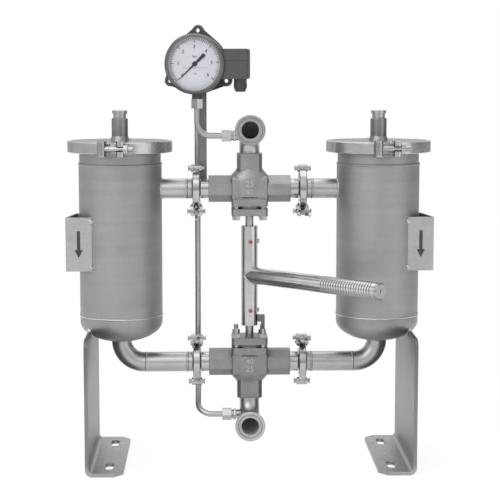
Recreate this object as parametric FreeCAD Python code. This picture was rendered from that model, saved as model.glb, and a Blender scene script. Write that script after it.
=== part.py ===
import FreeCAD, Part
import math
import os

# A duplex strainer: two filter vessels side by side, joined by an upper and a lower three-way valve
# that one lever turns together, with a differential pressure gauge above the left-hand piping.
# Millimetres. X runs to the right, Y away from the viewer, Z up. The origin is on the floor, under
# the axis of the valve spindles.

V = FreeCAD.Vector
ORIGIN = V(0, 0, 0)
X = V(1, 0, 0)
Y = V(0, 1, 0)
Z = V(0, 0, 1)

# Clearances
FIT = 0.05                  # radial clearance of a shaft that turns in its bore
GAP = 0.3                   # clearance between pieces that move past each other

# Pipes and clamp ferrules
PIPE_OD = 33.7
PIPE_WALL = 2.0
ELBOW_RADIUS = 38.0
FERRULE_OD = 50.5
FERRULE_RIM = 2.0           # thickness of the rim at its edge
FERRULE_LENGTH = 15.0
FERRULE_ROOT = 3.0          # radial height of the hub under the rim
GASKET_THICKNESS = 1.8
WELD_HEIGHT = 0.7
WELD_WIDTH = 3.6

# Vessels
VESSEL_X = 218.0            # distance of each vessel's axis from the spindle axis
VESSEL_OD = 139.7
VESSEL_WALL = 3.0
DISH_DEPTH = 35.0
DISH_TANGENT_Z = 240.0
LOWER_SEAM_Z = 251.0
NECK_OD = 137.0
NECK_Z = 507.0

# Lid and its clamp ring
PARTING_Z = 536.5           # middle of the lid gasket
RIM_RADIUS = 84.0           # edge of the lid and of the vessel flange
RIM_BEVEL = 4.0             # radial width of the bevel on both rims
LIP_RADIUS = RIM_RADIUS - RIM_BEVEL
RIM_HALF = 2.2              # half height of both rims together at their edge
LIP_HALF = 9.2              # half height of both rims together inside the bevel
LID_GASKET_HALF = 0.6
RING_WALL = 4.0
RING_RADIUS = RIM_RADIUS + RING_WALL
RING_HALF = 9.5
RING_CHAMFER = 1.0
RING_REAR_GAP = 3.0
RING_FRONT_GAP = 9.0
CLOSURE_TURN = {"left": -5.5, "right": 3.5}
BARREL_STANDOFF = 9.0       # of the closure barrels and the hinge pin from the ring
BARREL_Y = RING_RADIUS + BARREL_STANDOFF
BARREL_SPAN = 31.0
BARREL_RADIUS = 7.0
BARREL_FLAT = 5.0
BARREL_LOW_Z = 523.5
BARREL_HIGH_Z = 549.5
EAR_THICKNESS = 2.5
TRUNNION_PIN_RADIUS = 2.5
PIN_HEAD_HEIGHT = 1.5
PIN_HEAD_LIP = 1.5
LUG_DEPTH = 12.0            # lugs reach this far from the barrels back to the ring
LID_BOLT_RADIUS = 4.0
LID_NUT_FLATS = 13.0
LID_NUT_HEIGHT = 7.0
LID_NUT_SEAT = 0.5          # lets the nut swing past the corner of the barrel's flat
LID_NUT_TRAVEL = 8.0
KNUCKLE_RADIUS = 8.0
LID_HINGE_PIN_RADIUS = 3.5
LID_HINGE_HALF = 8.0        # half height of the three knuckles together
KNUCKLE_HALF = 3.0          # half height of the middle knuckle

# Vent on the lid
VENT_BODY_OD = 27.5
VENT_BODY_TOP_Z = 584.0
VENT_FLARE_OD = 33.0
VENT_FLARE_HEIGHT = 8.0
VENT_CHAMFER = 1.5
VENT_BORE_RADIUS = 6.0
VENT_BORE_DEPTH = 24.0
VENT_NECK_OD = 21.6
VENT_NECK_HEIGHT = 7.2
VENT_HEAD_OD = 25.5
VENT_HEAD_HEIGHT = 5.5
VENT_PASSAGE_RADIUS = 2.5

# Filter element
SEAT_Z = 246.0
SEAT_HEIGHT = 5.0
SEAT_BORE_RADIUS = 52.0
ELEMENT_RADIUS = 45.0
ELEMENT_WALL = 1.5
ELEMENT_TOP_Z = 500.0
ELEMENT_BASE_HEIGHT = 4.0
ELEMENT_CAP_HEIGHT = 3.0
WINDOW_ROWS = 4
WINDOWS_ROUND = 10
WINDOW_WIDTH = 16.0
WINDOW_HEIGHT = 46.0
BAIL_RADIUS = 22.0
BAIL_ROD_RADIUS = 2.5

# Three-way valves
VALVE_Z = {"upper": 465.0, "lower": 168.0}
SOCKET_END = 69.0
SOCKET_FLATS = 44.0
BODY_HALF_X = 32.0
BODY_HALF_Y = 25.0
BODY_HALF_Z = 22.0
BODY_ROUND = 7.0
PORT_NECK = 42.0
PORT_NECK_CHAMFER = 6.0
PORT_NECK_TOP = 60.0
THREAD_DEPTH = 14.0
THREAD_RADIUS = 16.6
PLATE_WIDTH = 61.0
PLATE_ROUND = 7.0
BODY_PLATE_TOP = 16.0       # distances below the valve's axis
BODY_PLATE_BASE = 28.0
BONNET_TOP = 33.0
BONNET_BASE = 44.5
BONNET_SPIGOT_RADIUS = 20.5
BONNET_GASKET = 1.0
BONNET_BOLT_SPAN = 45.0
BONNET_BOLT_RADIUS = 4.0
BONNET_HEAD_FLATS = 13.0
BONNET_HEAD_HEIGHT = 7.0
STUD_RISE = 9.0             # the lower valve's studs stand above their nuts by this much
PLUG_RADIUS = 19.0
PLUG_HALF = 17.0
PLUG_PORT_RADIUS = 13.0
STEM_RADIUS = 7.0
PACKING_RADIUS = 11.0
PACKING_HEIGHT = 5.0

# Coupling tube, set screws, lever and stop
TUBE_RADIUS = 14.0
TUBE_CLEARANCE = 63.5       # from each valve's axis to the tube's end
TUBE_LOW_Z = VALVE_Z["lower"] + TUBE_CLEARANCE
TUBE_HIGH_Z = VALVE_Z["upper"] - TUBE_CLEARANCE
STEM_ENGAGEMENT = 42.0
SET_SCREW_RADIUS = 3.5
SET_SCREW_HEIGHT = 2.5
SET_SCREW_INSET = 26.0      # from the tube's ends
SET_SCREW_ANGLES = (-84.0, 6.0)
LEVER_Z = 317.0
LEVER_RADIUS = 14.0
LEVER_REACH = 286.0
LEVER_ANGLE = -45.0
LEVER_CHAMFER = 2.5
GRIP_START = 170.0
GRIP_PITCH = 5.3
GRIP_GROOVES = 20
GRIP_DEPTH = 1.2
CENTRE_HOLE_RADIUS = 2.5
STOP_X = 20.0
STOP_THICKNESS = 6.0
STOP_WIDTH = 16.0
STOP_HEIGHT = 36.0

# Pipe clamps
CLAMP_X = 90.0
CLAMP_RADIUS = 33.0
CLAMP_HALF_WIDTH = 5.85
CLAMP_LIP_RADIUS = 21.5
CLAMP_HALVES_GAP = 1.0
CLAMP_HINGE = 34.5          # hinge pin's distance from the pipe's axis
CLAMP_HINGE_RADIUS = 3.5
CLAMP_HINGE_LENGTH = 27.6
CLAMP_KNUCKLE_RADIUS = 6.5
CLAMP_KNUCKLE_HALF = 4.0
CLAMP_KNUCKLE_OUTER = 9.0
SWING_OFFSET = 39.5         # swing bolt's distance from the pipe's axis
SWING_PIVOT_Y = 7.5
SWING_RADIUS = 3.0
SWING_REACH = 34.0
SWING_EYE_RADIUS = 6.5
SWING_PIN_RADIUS = 3.0
SWING_PIN_HALF = 14.0
FORK_BACK_ROUND = 7.0
FORK_FRONT_REACH = 16.5     # from the swing pivot to the face that the wing nut bears on
FORK_OUTLINE = [(-5.5, 24.0), (-11.0, 31.0), (-11.0, 43.0), (-8.0, 46.5),
                (8.0, 46.5), (11.0, 43.0), (11.0, 31.0), (5.5, 24.0)]
WING_HUB_RADIUS = 5.2
WING_HUB_HEIGHT = 9.0
WING_THICKNESS = 3.0
WING_OUTLINE = [(3.6, 2.7), (7.5, 2.7), (13.5, 12.2), (13.5, 15.0), (11.5, 17.5), (8.8, 16.6),
                (6.0, 10.5), (3.6, 8.6)]       # radius from the bolt and height from the nut's face
WING_TURN = {"upper_left": 90.0, "upper_right": 25.0, "lower_left": 60.0, "lower_right": 10.0}

# Ports
PORT_AXIS = 100.6           # port axis to valve axis
PORT_FACE_Y = 59.0

# Measuring lines
LINE_RADIUS = 5.0
LINE_WALL = 1.0
LINE_BEND = 24.0
LINE_X = 88.0
REAR_LINE_Y = 45.0
RISE_START = 45.0           # height gained while the lower line runs back to its riser
FITTING_BODY_RADIUS = 8.0
FITTING_BODY_END = 31.0
FITTING_NUT_FLATS = 19.0
FITTING_NUT_LENGTH = 16.0
FITTING_SPIGOT = 4.0

# Gauge
GAUGE_X = 88.0
GAUGE_Z = 674.0
GAUGE_TURN = -11.0
BEZEL_RADIUS = 50.5
BEZEL_FRONT = 26.0
BEZEL_DEPTH = 6.0
BEZEL_LIP = 2.5
BEZEL_CHAMFER = 3.0
CASE_RADIUS = 49.0
CASE_WALL = 2.0
CASE_BACK = 6.0
DIAL_FRONT = 17.0
DIAL_THICKNESS = 1.0
GLASS_THICKNESS = 3.0
FLANGE_THICKNESS = 5.0
FLANGE_RADIUS = 50.0
LUG_RADIUS = 7.5
LUG_CIRCLE = 56.0
LUG_ANGLES = (90, 210, 330)
LUG_HOLE_RADIUS = 3.5
CELL_RADIUS = 30.0
CELL_SPIGOT_RADIUS = 16.0
CELL_BACK = 58.0
PORT_BOSS_RADIUS = 8.5
PORT_BOSS_Z = 616.0
POINTER_LENGTH = 36.0
POINTER_TAIL = 22.8
POINTER_WIDTH = 3.6
POINTER_THICKNESS = 1.0
POINTER_START = 224.0
POINTER_LIFT = 0.5          # of the pointer off the dial
ARBOR_RADIUS = 1.5
ARBOR_LENGTH = 6.0
POINTER_HUB_RADIUS = 4.2
BOX_INNER = 39.0
BOX_OUTER = 90.0
BOX_HALF_HEIGHT = 25.0
BOX_FRONT = 19.0
BOX_ROUND = 4.0
GLAND_OFFSET = 75.0
GLAND_Y = -6.5
GLAND_RADIUS = 11.0
GLAND_HEIGHT = 21.0
GLAND_BORE = 4.0

# Post behind the clamp adapter, and the plate that it carries
POST_WIDTH = 12.0
POST_THICKNESS = 6.0
POST_X = 78.0
POST_LOW_Z = 452.0
POST_HIGH_Z = 700.0
PLATE_THICKNESS = 4.0
PLATE_MARGIN = 2.0

# Legs
LEG_OFFSET = 55.0           # of the leg's outer face from the vessel's axis
LEG_OUTER_X = VESSEL_X + LEG_OFFSET
LEG_THICKNESS = 6.0
LEG_HALF_DEPTH = 128.0
LEG_TOP_DROP = 14.0         # below the start of the dish
LEG_TOP_Z = DISH_TANGENT_Z - LEG_TOP_DROP
LEG_TOP_ROUND = 14.0
LEG_BEND = 6.0
FOOT_INSET = 7.0            # of the foot's inner end past the vessel's axis
FOOT_INNER_X = VESSEL_X - FOOT_INSET
FOOT_CHAMFER_X = 15.0
FOOT_CHAMFER_Y = 18.0
SLOT_OFFSET = 18.0
SLOT_X = VESSEL_X + SLOT_OFFSET
SLOT_SPACING = 160.0
SLOT_WIDTH = 14.0
SLOT_LENGTH = 41.0

# Bent brackets on the vessels' outer sides
BRACKET_THICKNESS = 3.0
BRACKET_LOW_Z = 331.0
BRACKET_HIGH_Z = 421.0
BRACKET_FRONT_Y = 52.0
BRACKET_CORNER_REACH = 89.0     # from the vessel's axis
BRACKET_CORNER_X = VESSEL_X + BRACKET_CORNER_REACH
BRACKET_BACK_REACH = 78.0
BRACKET_BACK_X = VESSEL_X + BRACKET_BACK_REACH
BRACKET_BACK_Y = 26.0
BRACKET_ROOT = 10.0         # starting this far inside the vessel's wall, before it is trimmed to it

SIDES = {"left": -1, "right": 1}
PIPE_RADIUS = PIPE_OD / 2
BORE_RADIUS = PIPE_RADIUS - PIPE_WALL
VESSEL_RADIUS = VESSEL_OD / 2
VESSEL_BORE = VESSEL_RADIUS - VESSEL_WALL
FERRULE_RADIUS = FERRULE_OD / 2
FERRULE_FACE = CLAMP_X + GASKET_THICKNESS / 2
BEVEL = math.tan(math.radians(20))
FAR = 1000.0


def block(x0, x1, y0, y1, z0, z1):
    return Part.makeBox(x1 - x0, y1 - y0, z1 - z0, V(x0, y0, z0))


def rod(radius, start, axis, length):
    return Part.makeCylinder(radius, length, start, axis)


def pipe(outer, inner, start, axis, length):
    return rod(outer, start, axis, length).cut(rod(inner, start, axis, length))


def moved(shape, offset, turn=0.0):
    """Turns a shape about the vertical through the origin, then moves it."""
    copy = shape.copy()
    copy.rotate(ORIGIN, Z, turn)
    copy.translate(offset)
    return copy


def turned(profile, start, axis):
    """Solid of revolution from a closed profile of (radius, height) points."""
    corners = [V(r, 0, h) for r, h in profile]
    face = Part.Face(Part.makePolygon(corners + corners[:1]))
    solid = face.revolve(ORIGIN, Z, 360)
    solid.Placement = FreeCAD.Placement(start, FreeCAD.Rotation(Z, axis))
    return solid


def prism(corners, start, height):
    """Straight prism along Z from (x, y) corners."""
    points = [V(x, y, start) for x, y in corners]
    return Part.Face(Part.makePolygon(points + points[:1])).extrude(Z * height)


def polygon_bar(sides, flats, start, axis, length):
    """Regular bar, with its width over flats, and a flat upwards when it lies level."""
    radius = flats / 2 / math.cos(math.pi / sides)
    angles = [math.pi / sides * (2 * i + 1) for i in range(sides)]
    corners = [(radius * math.cos(a), radius * math.sin(a)) for a in angles]
    bar = prism(corners, 0, length)
    bar.Placement = FreeCAD.Placement(start, FreeCAD.Rotation(Z, axis))
    return bar


def bend(radius, start, direction, centre, axis):
    """Quarter bend of a round bar."""
    face = Part.Face(Part.Wire(Part.makeCircle(radius, start, direction)))
    return face.revolve(centre, axis, 90)


def fuse(first, *others):
    return first.multiFuse(list(others)).removeSplitter()


def cut(shape, *tools):
    for tool in tools:
        shape = shape.cut(tool)
    return shape


def vertical_edges(shape):
    found = []
    for edge in shape.Edges:
        if len(edge.Vertexes) == 2:
            run = edge.Vertexes[1].Point - edge.Vertexes[0].Point
            if abs(run.x) < 1e-6 and abs(run.y) < 1e-6:
                found.append(edge)
    return found


def mirrored(shape, side):
    """Pieces are drawn on the right, and mirrored for the left."""
    return shape if side > 0 else shape.mirror(ORIGIN, X)


def save(name, *solids):
    shape = solids[0] if len(solids) == 1 else Part.makeCompound(list(solids))
    shape.exportStep(os.path.join("parts", name + ".step"))


def dished(radius, depth, tangent_z, top_z):
    """Upright cylinder with a half-elliptical bottom."""
    ellipse = Part.Ellipse(V(radius, 0, tangent_z), V(0, 0, tangent_z - depth), V(0, 0, tangent_z))
    arc = Part.Arc(ellipse, 0, math.pi / 2).toShape()
    outline = Part.makePolygon([V(0, 0, tangent_z - depth), V(0, 0, top_z),
                                V(radius, 0, top_z), V(radius, 0, tangent_z)])
    face = Part.Face(Part.Wire([arc] + outline.Edges))
    return face.revolve(ORIGIN, Z, 360)


def weld_band(radius, start, axis):
    """Raised bead round a pipe or vessel, centred on start."""
    half = WELD_WIDTH / 2
    crest = half / 3
    profile = [(radius - WELD_HEIGHT, -half), (radius, -half), (radius + WELD_HEIGHT, -crest),
               (radius + WELD_HEIGHT, crest), (radius, half), (radius - WELD_HEIGHT, half)]
    return turned(profile, start, axis)


def ferrule(start, axis, length):
    """Hollow clamp ferrule, with its face on start and its pipe end along axis."""
    hub = PIPE_RADIUS + FERRULE_ROOT
    slope = FERRULE_RIM + (FERRULE_RADIUS - hub) * BEVEL
    profile = [(BORE_RADIUS, 0), (FERRULE_RADIUS, 0), (FERRULE_RADIUS, FERRULE_RIM), (hub, slope),
               (PIPE_RADIUS, slope + FERRULE_ROOT), (PIPE_RADIUS, length), (BORE_RADIUS, length)]
    return turned(profile, start, axis)


def vessel_outside():
    return moved(dished(VESSEL_RADIUS, DISH_DEPTH, DISH_TANGENT_Z, NECK_Z), X * VESSEL_X)


def vessel():
    neck = NECK_OD / 2
    flange = [(VESSEL_BORE, NECK_Z - 1), (neck, NECK_Z - 1), (neck, PARTING_Z - LIP_HALF - 2),
              (LIP_RADIUS, PARTING_Z - LIP_HALF), (RIM_RADIUS, PARTING_Z - RIM_HALF),
              (RIM_RADIUS, PARTING_Z - LID_GASKET_HALF), (VESSEL_BORE, PARTING_Z - LID_GASKET_HALF)]
    shell = dished(VESSEL_RADIUS, DISH_DEPTH, DISH_TANGENT_Z, NECK_Z)
    hollow = dished(VESSEL_BORE, DISH_DEPTH - VESSEL_WALL, DISH_TANGENT_Z, NECK_Z)
    seat = pipe(VESSEL_BORE + 1, SEAT_BORE_RADIUS, Z * (SEAT_Z - SEAT_HEIGHT), Z, SEAT_HEIGHT)
    seams = [weld_band(VESSEL_RADIUS, Z * height, Z) for height in (LOWER_SEAM_Z, NECK_Z)]
    body = fuse(cut(fuse(shell, *seams), hollow), seat, turned(flange, ORIGIN, Z))
    inlet = rod(BORE_RADIUS, Z * VALVE_Z["upper"], -X, VESSEL_OD)
    outlet = rod(BORE_RADIUS, ORIGIN, Z, DISH_TANGENT_Z)
    return moved(cut(body, inlet, outlet), X * VESSEL_X)


def upper_nozzle():
    """Straight branch from the vessel's wall to the clamp."""
    axis = Z * VALVE_Z["upper"]
    weld = FERRULE_FACE + FERRULE_LENGTH
    run = pipe(PIPE_RADIUS, BORE_RADIUS, axis + X * weld, X, VESSEL_X - weld)
    branch = cut(run, vessel_outside())
    face = ferrule(axis + X * FERRULE_FACE, X, FERRULE_LENGTH)
    bead = cut(weld_band(PIPE_RADIUS, axis + X * weld, X), rod(BORE_RADIUS, axis, X, VESSEL_X))
    return fuse(branch, face, bead)


def lower_pipe():
    """Quarter bend under the dish, then a straight run to the clamp."""
    axis = Z * VALVE_Z["lower"]
    bend_end = VESSEL_X - ELBOW_RADIUS
    top = axis + V(VESSEL_X, 0, ELBOW_RADIUS)
    centre = top - X * ELBOW_RADIUS
    weld = FERRULE_FACE + FERRULE_LENGTH
    outer = bend(PIPE_RADIUS, top, -Z, centre, Y)
    inner = bend(BORE_RADIUS, top, -Z, centre, Y)
    run = pipe(PIPE_RADIUS, BORE_RADIUS, axis + X * weld, X, bend_end - weld)
    face = ferrule(axis + X * FERRULE_FACE, X, FERRULE_LENGTH)
    bore = rod(BORE_RADIUS, axis, X, bend_end)
    beads = [cut(weld_band(PIPE_RADIUS, axis + X * at, X), bore) for at in (weld, bend_end - WELD_WIDTH)]
    return fuse(outer.cut(inner).cut(vessel_outside()), run, face, *beads)


def leg():
    """Bent plate: an upright under the dish and a foot turned inwards."""
    inner = LEG_OUTER_X - LEG_THICKNESS
    upright = block(inner, LEG_OUTER_X, -LEG_HALF_DEPTH, LEG_HALF_DEPTH, 0, LEG_TOP_Z)
    corners = [edge for edge in upright.Edges
               if edge.BoundBox.XLength > LEG_THICKNESS / 2 and edge.BoundBox.ZMin > LEG_TOP_Z / 2]
    upright = upright.makeFillet(LEG_TOP_ROUND, corners)
    foot = block(FOOT_INNER_X, inner, -LEG_HALF_DEPTH, LEG_HALF_DEPTH, 0, LEG_THICKNESS)
    web = block(inner - LEG_BEND, inner, -LEG_HALF_DEPTH, LEG_HALF_DEPTH,
                LEG_THICKNESS, LEG_THICKNESS + LEG_BEND)
    hollow = rod(LEG_BEND, V(inner - LEG_BEND, -LEG_HALF_DEPTH, LEG_THICKNESS + LEG_BEND), Y,
                 2 * LEG_HALF_DEPTH)
    plate = fuse(upright, foot, web.cut(hollow))
    outer_bend = LEG_BEND + LEG_THICKNESS
    edge = [edge for edge in plate.Edges
            if edge.BoundBox.YLength > LEG_HALF_DEPTH and edge.BoundBox.ZMax < 1e-3
            and edge.BoundBox.XMin > LEG_OUTER_X - 1e-3]
    plate = plate.makeFillet(outer_bend, edge)
    for end in (-1, 1):
        corner = [(FOOT_INNER_X - 1, end * (LEG_HALF_DEPTH + 1)),
                  (FOOT_INNER_X + FOOT_CHAMFER_X, end * (LEG_HALF_DEPTH + 1)),
                  (FOOT_INNER_X + FOOT_CHAMFER_X, end * LEG_HALF_DEPTH),
                  (FOOT_INNER_X, end * (LEG_HALF_DEPTH - FOOT_CHAMFER_Y)),
                  (FOOT_INNER_X - 1, end * (LEG_HALF_DEPTH - FOOT_CHAMFER_Y))]
        plate = plate.cut(prism(corner, -1, LEG_THICKNESS + 2))
        plate = plate.cut(foot_slot(end * SLOT_SPACING / 2))
    return plate.cut(vessel_outside())


def foot_slot(y):
    reach = (SLOT_LENGTH - SLOT_WIDTH) / 2
    half = SLOT_WIDTH / 2
    ends = [rod(half, V(SLOT_X, y + way * reach, 0), Z, LEG_THICKNESS) for way in (-1, 1)]
    middle = block(SLOT_X - half, SLOT_X + half, y - reach, y + reach, 0, LEG_THICKNESS)
    return fuse(middle, *ends)


def sheet_outline(path, thickness):
    """Outline of a bent sheet whose middle follows the path, with mitred corners."""
    half = thickness / 2
    left = []
    right = []
    for i, point in enumerate(path):
        before = path[max(i - 1, 0)]
        here = path[min(i, len(path) - 2)]
        run_in = (point - before) if i else (path[1] - point)
        run_out = path[min(i + 1, len(path) - 1)] - here
        normal_in = Z.cross(run_in).normalize()
        normal_out = Z.cross(run_out).normalize()
        middle = (normal_in + normal_out).normalize()
        offset = middle * (half / middle.dot(normal_in))
        left.append(point + offset)
        right.append(point - offset)
    return [(p.x, p.y) for p in left + right[::-1]]


def arrow_bracket():
    """Sheet bent twice, standing off the vessel's outer side."""
    half = BRACKET_THICKNESS / 2
    front_x = VESSEL_X + math.sqrt(VESSEL_RADIUS ** 2 - BRACKET_FRONT_Y ** 2)
    back_x = VESSEL_X + math.sqrt(VESSEL_RADIUS ** 2 - BRACKET_BACK_Y ** 2)
    path = [V(front_x - BRACKET_ROOT, -BRACKET_FRONT_Y), V(BRACKET_CORNER_X - half, -BRACKET_FRONT_Y),
            V(BRACKET_BACK_X - half, BRACKET_BACK_Y), V(back_x - BRACKET_ROOT, BRACKET_BACK_Y)]
    sheet = prism(sheet_outline(path, BRACKET_THICKNESS), BRACKET_LOW_Z, BRACKET_HIGH_Z - BRACKET_LOW_Z)
    outer = [edge for edge in vertical_edges(sheet) if edge.Vertexes[0].X > BRACKET_BACK_X - half]
    return sheet.makeFillet(BRACKET_THICKNESS, outer).cut(vessel_outside())


def lid():
    vent = VENT_BODY_OD / 2
    flare = VENT_FLARE_OD / 2
    top = PARTING_Z + LIP_HALF
    plate = turned([(0, PARTING_Z + LID_GASKET_HALF), (RIM_RADIUS, PARTING_Z + LID_GASKET_HALF),
                    (RIM_RADIUS, PARTING_Z + RIM_HALF), (LIP_RADIUS, top), (0, top)], ORIGIN, Z)
    boss = turned([(0, top - 1), (flare, top - 1), (flare, top), (vent, top + VENT_FLARE_HEIGHT),
                   (vent, VENT_BODY_TOP_Z - VENT_CHAMFER), (vent - VENT_CHAMFER, VENT_BODY_TOP_Z),
                   (0, VENT_BODY_TOP_Z)], ORIGIN, Z)
    bore = rod(VENT_BORE_RADIUS + FIT, Z * (VENT_BODY_TOP_Z - VENT_BORE_DEPTH), Z, VENT_BORE_DEPTH)
    passage = rod(VENT_PASSAGE_RADIUS, Z * PARTING_Z, Z, VENT_BODY_TOP_Z - PARTING_Z)
    return fuse(plate, boss).cut(bore).cut(passage)


def vent_screw():
    """Knurled head, neck and shank that screws into the lid's boss."""
    neck_base = VENT_BODY_TOP_Z + GAP
    head_base = neck_base + VENT_NECK_HEIGHT
    head = VENT_HEAD_OD / 2
    top = head_base + VENT_HEAD_HEIGHT
    shank_base = VENT_BODY_TOP_Z - VENT_BORE_DEPTH + GAP
    return turned([(0, shank_base), (VENT_BORE_RADIUS, shank_base), (VENT_BORE_RADIUS, neck_base),
                   (VENT_NECK_OD / 2, neck_base), (VENT_NECK_OD / 2, head_base), (head, head_base),
                   (head, top - VENT_CHAMFER / 2), (head - VENT_CHAMFER, top), (0, top)], ORIGIN, Z)


def lid_gasket():
    height = 2 * LID_GASKET_HALF
    return pipe(LIP_RADIUS, VESSEL_BORE, Z * (PARTING_Z - LID_GASKET_HALF), Z, height)


def clamp_ring_half():
    """Right-hand half of the V-section ring, before its lugs."""
    shift = 1.5 * GAP
    high = RING_HALF
    shoulder = RING_HALF - RING_CHAMFER
    ring = turned([(LIP_RADIUS + shift, high), (RING_RADIUS - RING_CHAMFER, high),
                   (RING_RADIUS, shoulder), (RING_RADIUS, -shoulder), (RING_RADIUS - RING_CHAMFER, -high),
                   (LIP_RADIUS + shift, -high), (RIM_RADIUS + shift, -RIM_HALF),
                   (RIM_RADIUS + shift, RIM_HALF)], Z * PARTING_Z, Z)
    zone = prism([(RING_REAR_GAP / 2, FAR), (FAR, FAR), (FAR, -FAR), (RING_FRONT_GAP / 2, -FAR),
                  (RING_FRONT_GAP / 2, 0), (RING_REAR_GAP / 2, 0)], 0, FAR)
    return ring.common(zone)


def hinge_tongue(low, high):
    """One knuckle of the rear hinge with its tongue to the right-hand half."""
    knuckle = rod(KNUCKLE_RADIUS, V(0, BARREL_Y, low), Z, high - low)
    tongue = block(RING_REAR_GAP / 2, KNUCKLE_RADIUS, RING_RADIUS - 2, BARREL_Y, low, high)
    return fuse(knuckle, tongue)


def lid_clamp_moving_half():
    """Half with the slotted barrel, drawn with the closure to the front."""
    pivot = V(BARREL_SPAN / 2, -BARREL_Y, 0)
    height = BARREL_HIGH_Z - BARREL_LOW_Z
    barrel = rod(BARREL_RADIUS, pivot + Z * BARREL_LOW_Z, Z, height)
    lug = block(pivot.x - BARREL_RADIUS, pivot.x + BARREL_FLAT, -BARREL_Y, -BARREL_Y + LUG_DEPTH,
                BARREL_LOW_Z, BARREL_HIGH_Z)
    middle = (BARREL_LOW_Z + BARREL_HIGH_Z) / 2
    slot_half = LID_BOLT_RADIUS + GAP
    slot = fuse(rod(slot_half, V(0, -BARREL_Y, middle), X, BARREL_SPAN),
                block(0, BARREL_SPAN, -BARREL_Y - LUG_DEPTH, -BARREL_Y, middle - slot_half,
                      middle + slot_half))
    flat = block(pivot.x + BARREL_FLAT, pivot.x + LUG_DEPTH, -BARREL_Y - LUG_DEPTH, -BARREL_Y + LUG_DEPTH,
                 BARREL_LOW_Z, BARREL_HIGH_Z)
    knuckle = hinge_tongue(PARTING_Z - KNUCKLE_HALF + GAP, PARTING_Z + KNUCKLE_HALF - GAP)
    half = fuse(clamp_ring_half(), barrel, lug, knuckle)
    pin = rod(LID_HINGE_PIN_RADIUS + FIT, V(0, BARREL_Y, 0), Z, FAR)
    return cut(half, slot, flat, pin)


def lid_clamp_fixed_half():
    """Half with the fork that holds the bolt's barrel."""
    pivot = V(-BARREL_SPAN / 2, -BARREL_Y, 0)
    ears = []
    for low in (BARREL_LOW_Z, BARREL_HIGH_Z - EAR_THICKNESS):
        eye = rod(BARREL_RADIUS, pivot + Z * low, Z, EAR_THICKNESS)
        arm = block(pivot.x - BARREL_RADIUS, pivot.x + BARREL_RADIUS, -BARREL_Y, -BARREL_Y + LUG_DEPTH,
                    low, low + EAR_THICKNESS)
        ears.append(fuse(eye, arm))
    web_front = -BARREL_Y + BARREL_RADIUS + GAP
    web = block(pivot.x - BARREL_RADIUS, pivot.x + BARREL_RADIUS, web_front, -BARREL_Y + LUG_DEPTH,
                BARREL_LOW_Z, BARREL_HIGH_Z)
    knuckles = []
    for low, high in ((-LID_HINGE_HALF, -KNUCKLE_HALF), (KNUCKLE_HALF, LID_HINGE_HALF)):
        knuckles.append(hinge_tongue(PARTING_Z + low, PARTING_Z + high).mirror(ORIGIN, X))
    half = fuse(clamp_ring_half().mirror(ORIGIN, X), web, *ears, *knuckles)
    hinge_hole = rod(LID_HINGE_PIN_RADIUS, V(0, BARREL_Y, 0), Z, FAR)
    pin_hole = rod(TRUNNION_PIN_RADIUS, pivot, Z, FAR)
    return cut(half, hinge_hole, pin_hole)


def headed_pin(radius, start, axis, length):
    """Pin with a flat head outside each end of the given length."""
    head = radius + PIN_HEAD_LIP
    rise = PIN_HEAD_HEIGHT
    return turned([(0, -rise), (head, -rise), (head, 0), (radius, 0), (radius, length), (head, length),
                   (head, length + rise), (0, length + rise)], start, axis)


def lid_clamp_pins():
    trunnion = headed_pin(TRUNNION_PIN_RADIUS, V(-BARREL_SPAN / 2, -BARREL_Y, BARREL_LOW_Z), Z,
                          BARREL_HIGH_Z - BARREL_LOW_Z)
    hinge = headed_pin(LID_HINGE_PIN_RADIUS, V(0, BARREL_Y, PARTING_Z - LID_HINGE_HALF), Z,
                       2 * LID_HINGE_HALF)
    return [trunnion, hinge]


def lid_clamp_bolt():
    """Barrel that turns on its pin, with the threaded rod across the closure."""
    pivot = V(-BARREL_SPAN / 2, -BARREL_Y, 0)
    low = BARREL_LOW_Z + EAR_THICKNESS + GAP
    high = BARREL_HIGH_Z - EAR_THICKNESS - GAP
    barrel = rod(BARREL_RADIUS, pivot + Z * low, Z, high - low)
    middle = (BARREL_LOW_Z + BARREL_HIGH_Z) / 2
    reach = BARREL_SPAN + BARREL_FLAT + LID_NUT_SEAT + LID_NUT_HEIGHT + LID_NUT_TRAVEL
    shank = rod(LID_BOLT_RADIUS, pivot + Z * middle, X, reach)
    return fuse(barrel, shank).cut(rod(TRUNNION_PIN_RADIUS + FIT, pivot, Z, FAR))


def lid_clamp_nut():
    start = V(BARREL_SPAN / 2 + BARREL_FLAT + LID_NUT_SEAT, -BARREL_Y, (BARREL_LOW_Z + BARREL_HIGH_Z) / 2)
    nut = polygon_bar(6, LID_NUT_FLATS, start, X, LID_NUT_HEIGHT)
    return nut.cut(rod(LID_BOLT_RADIUS + FIT, start, X, LID_NUT_HEIGHT))


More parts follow.
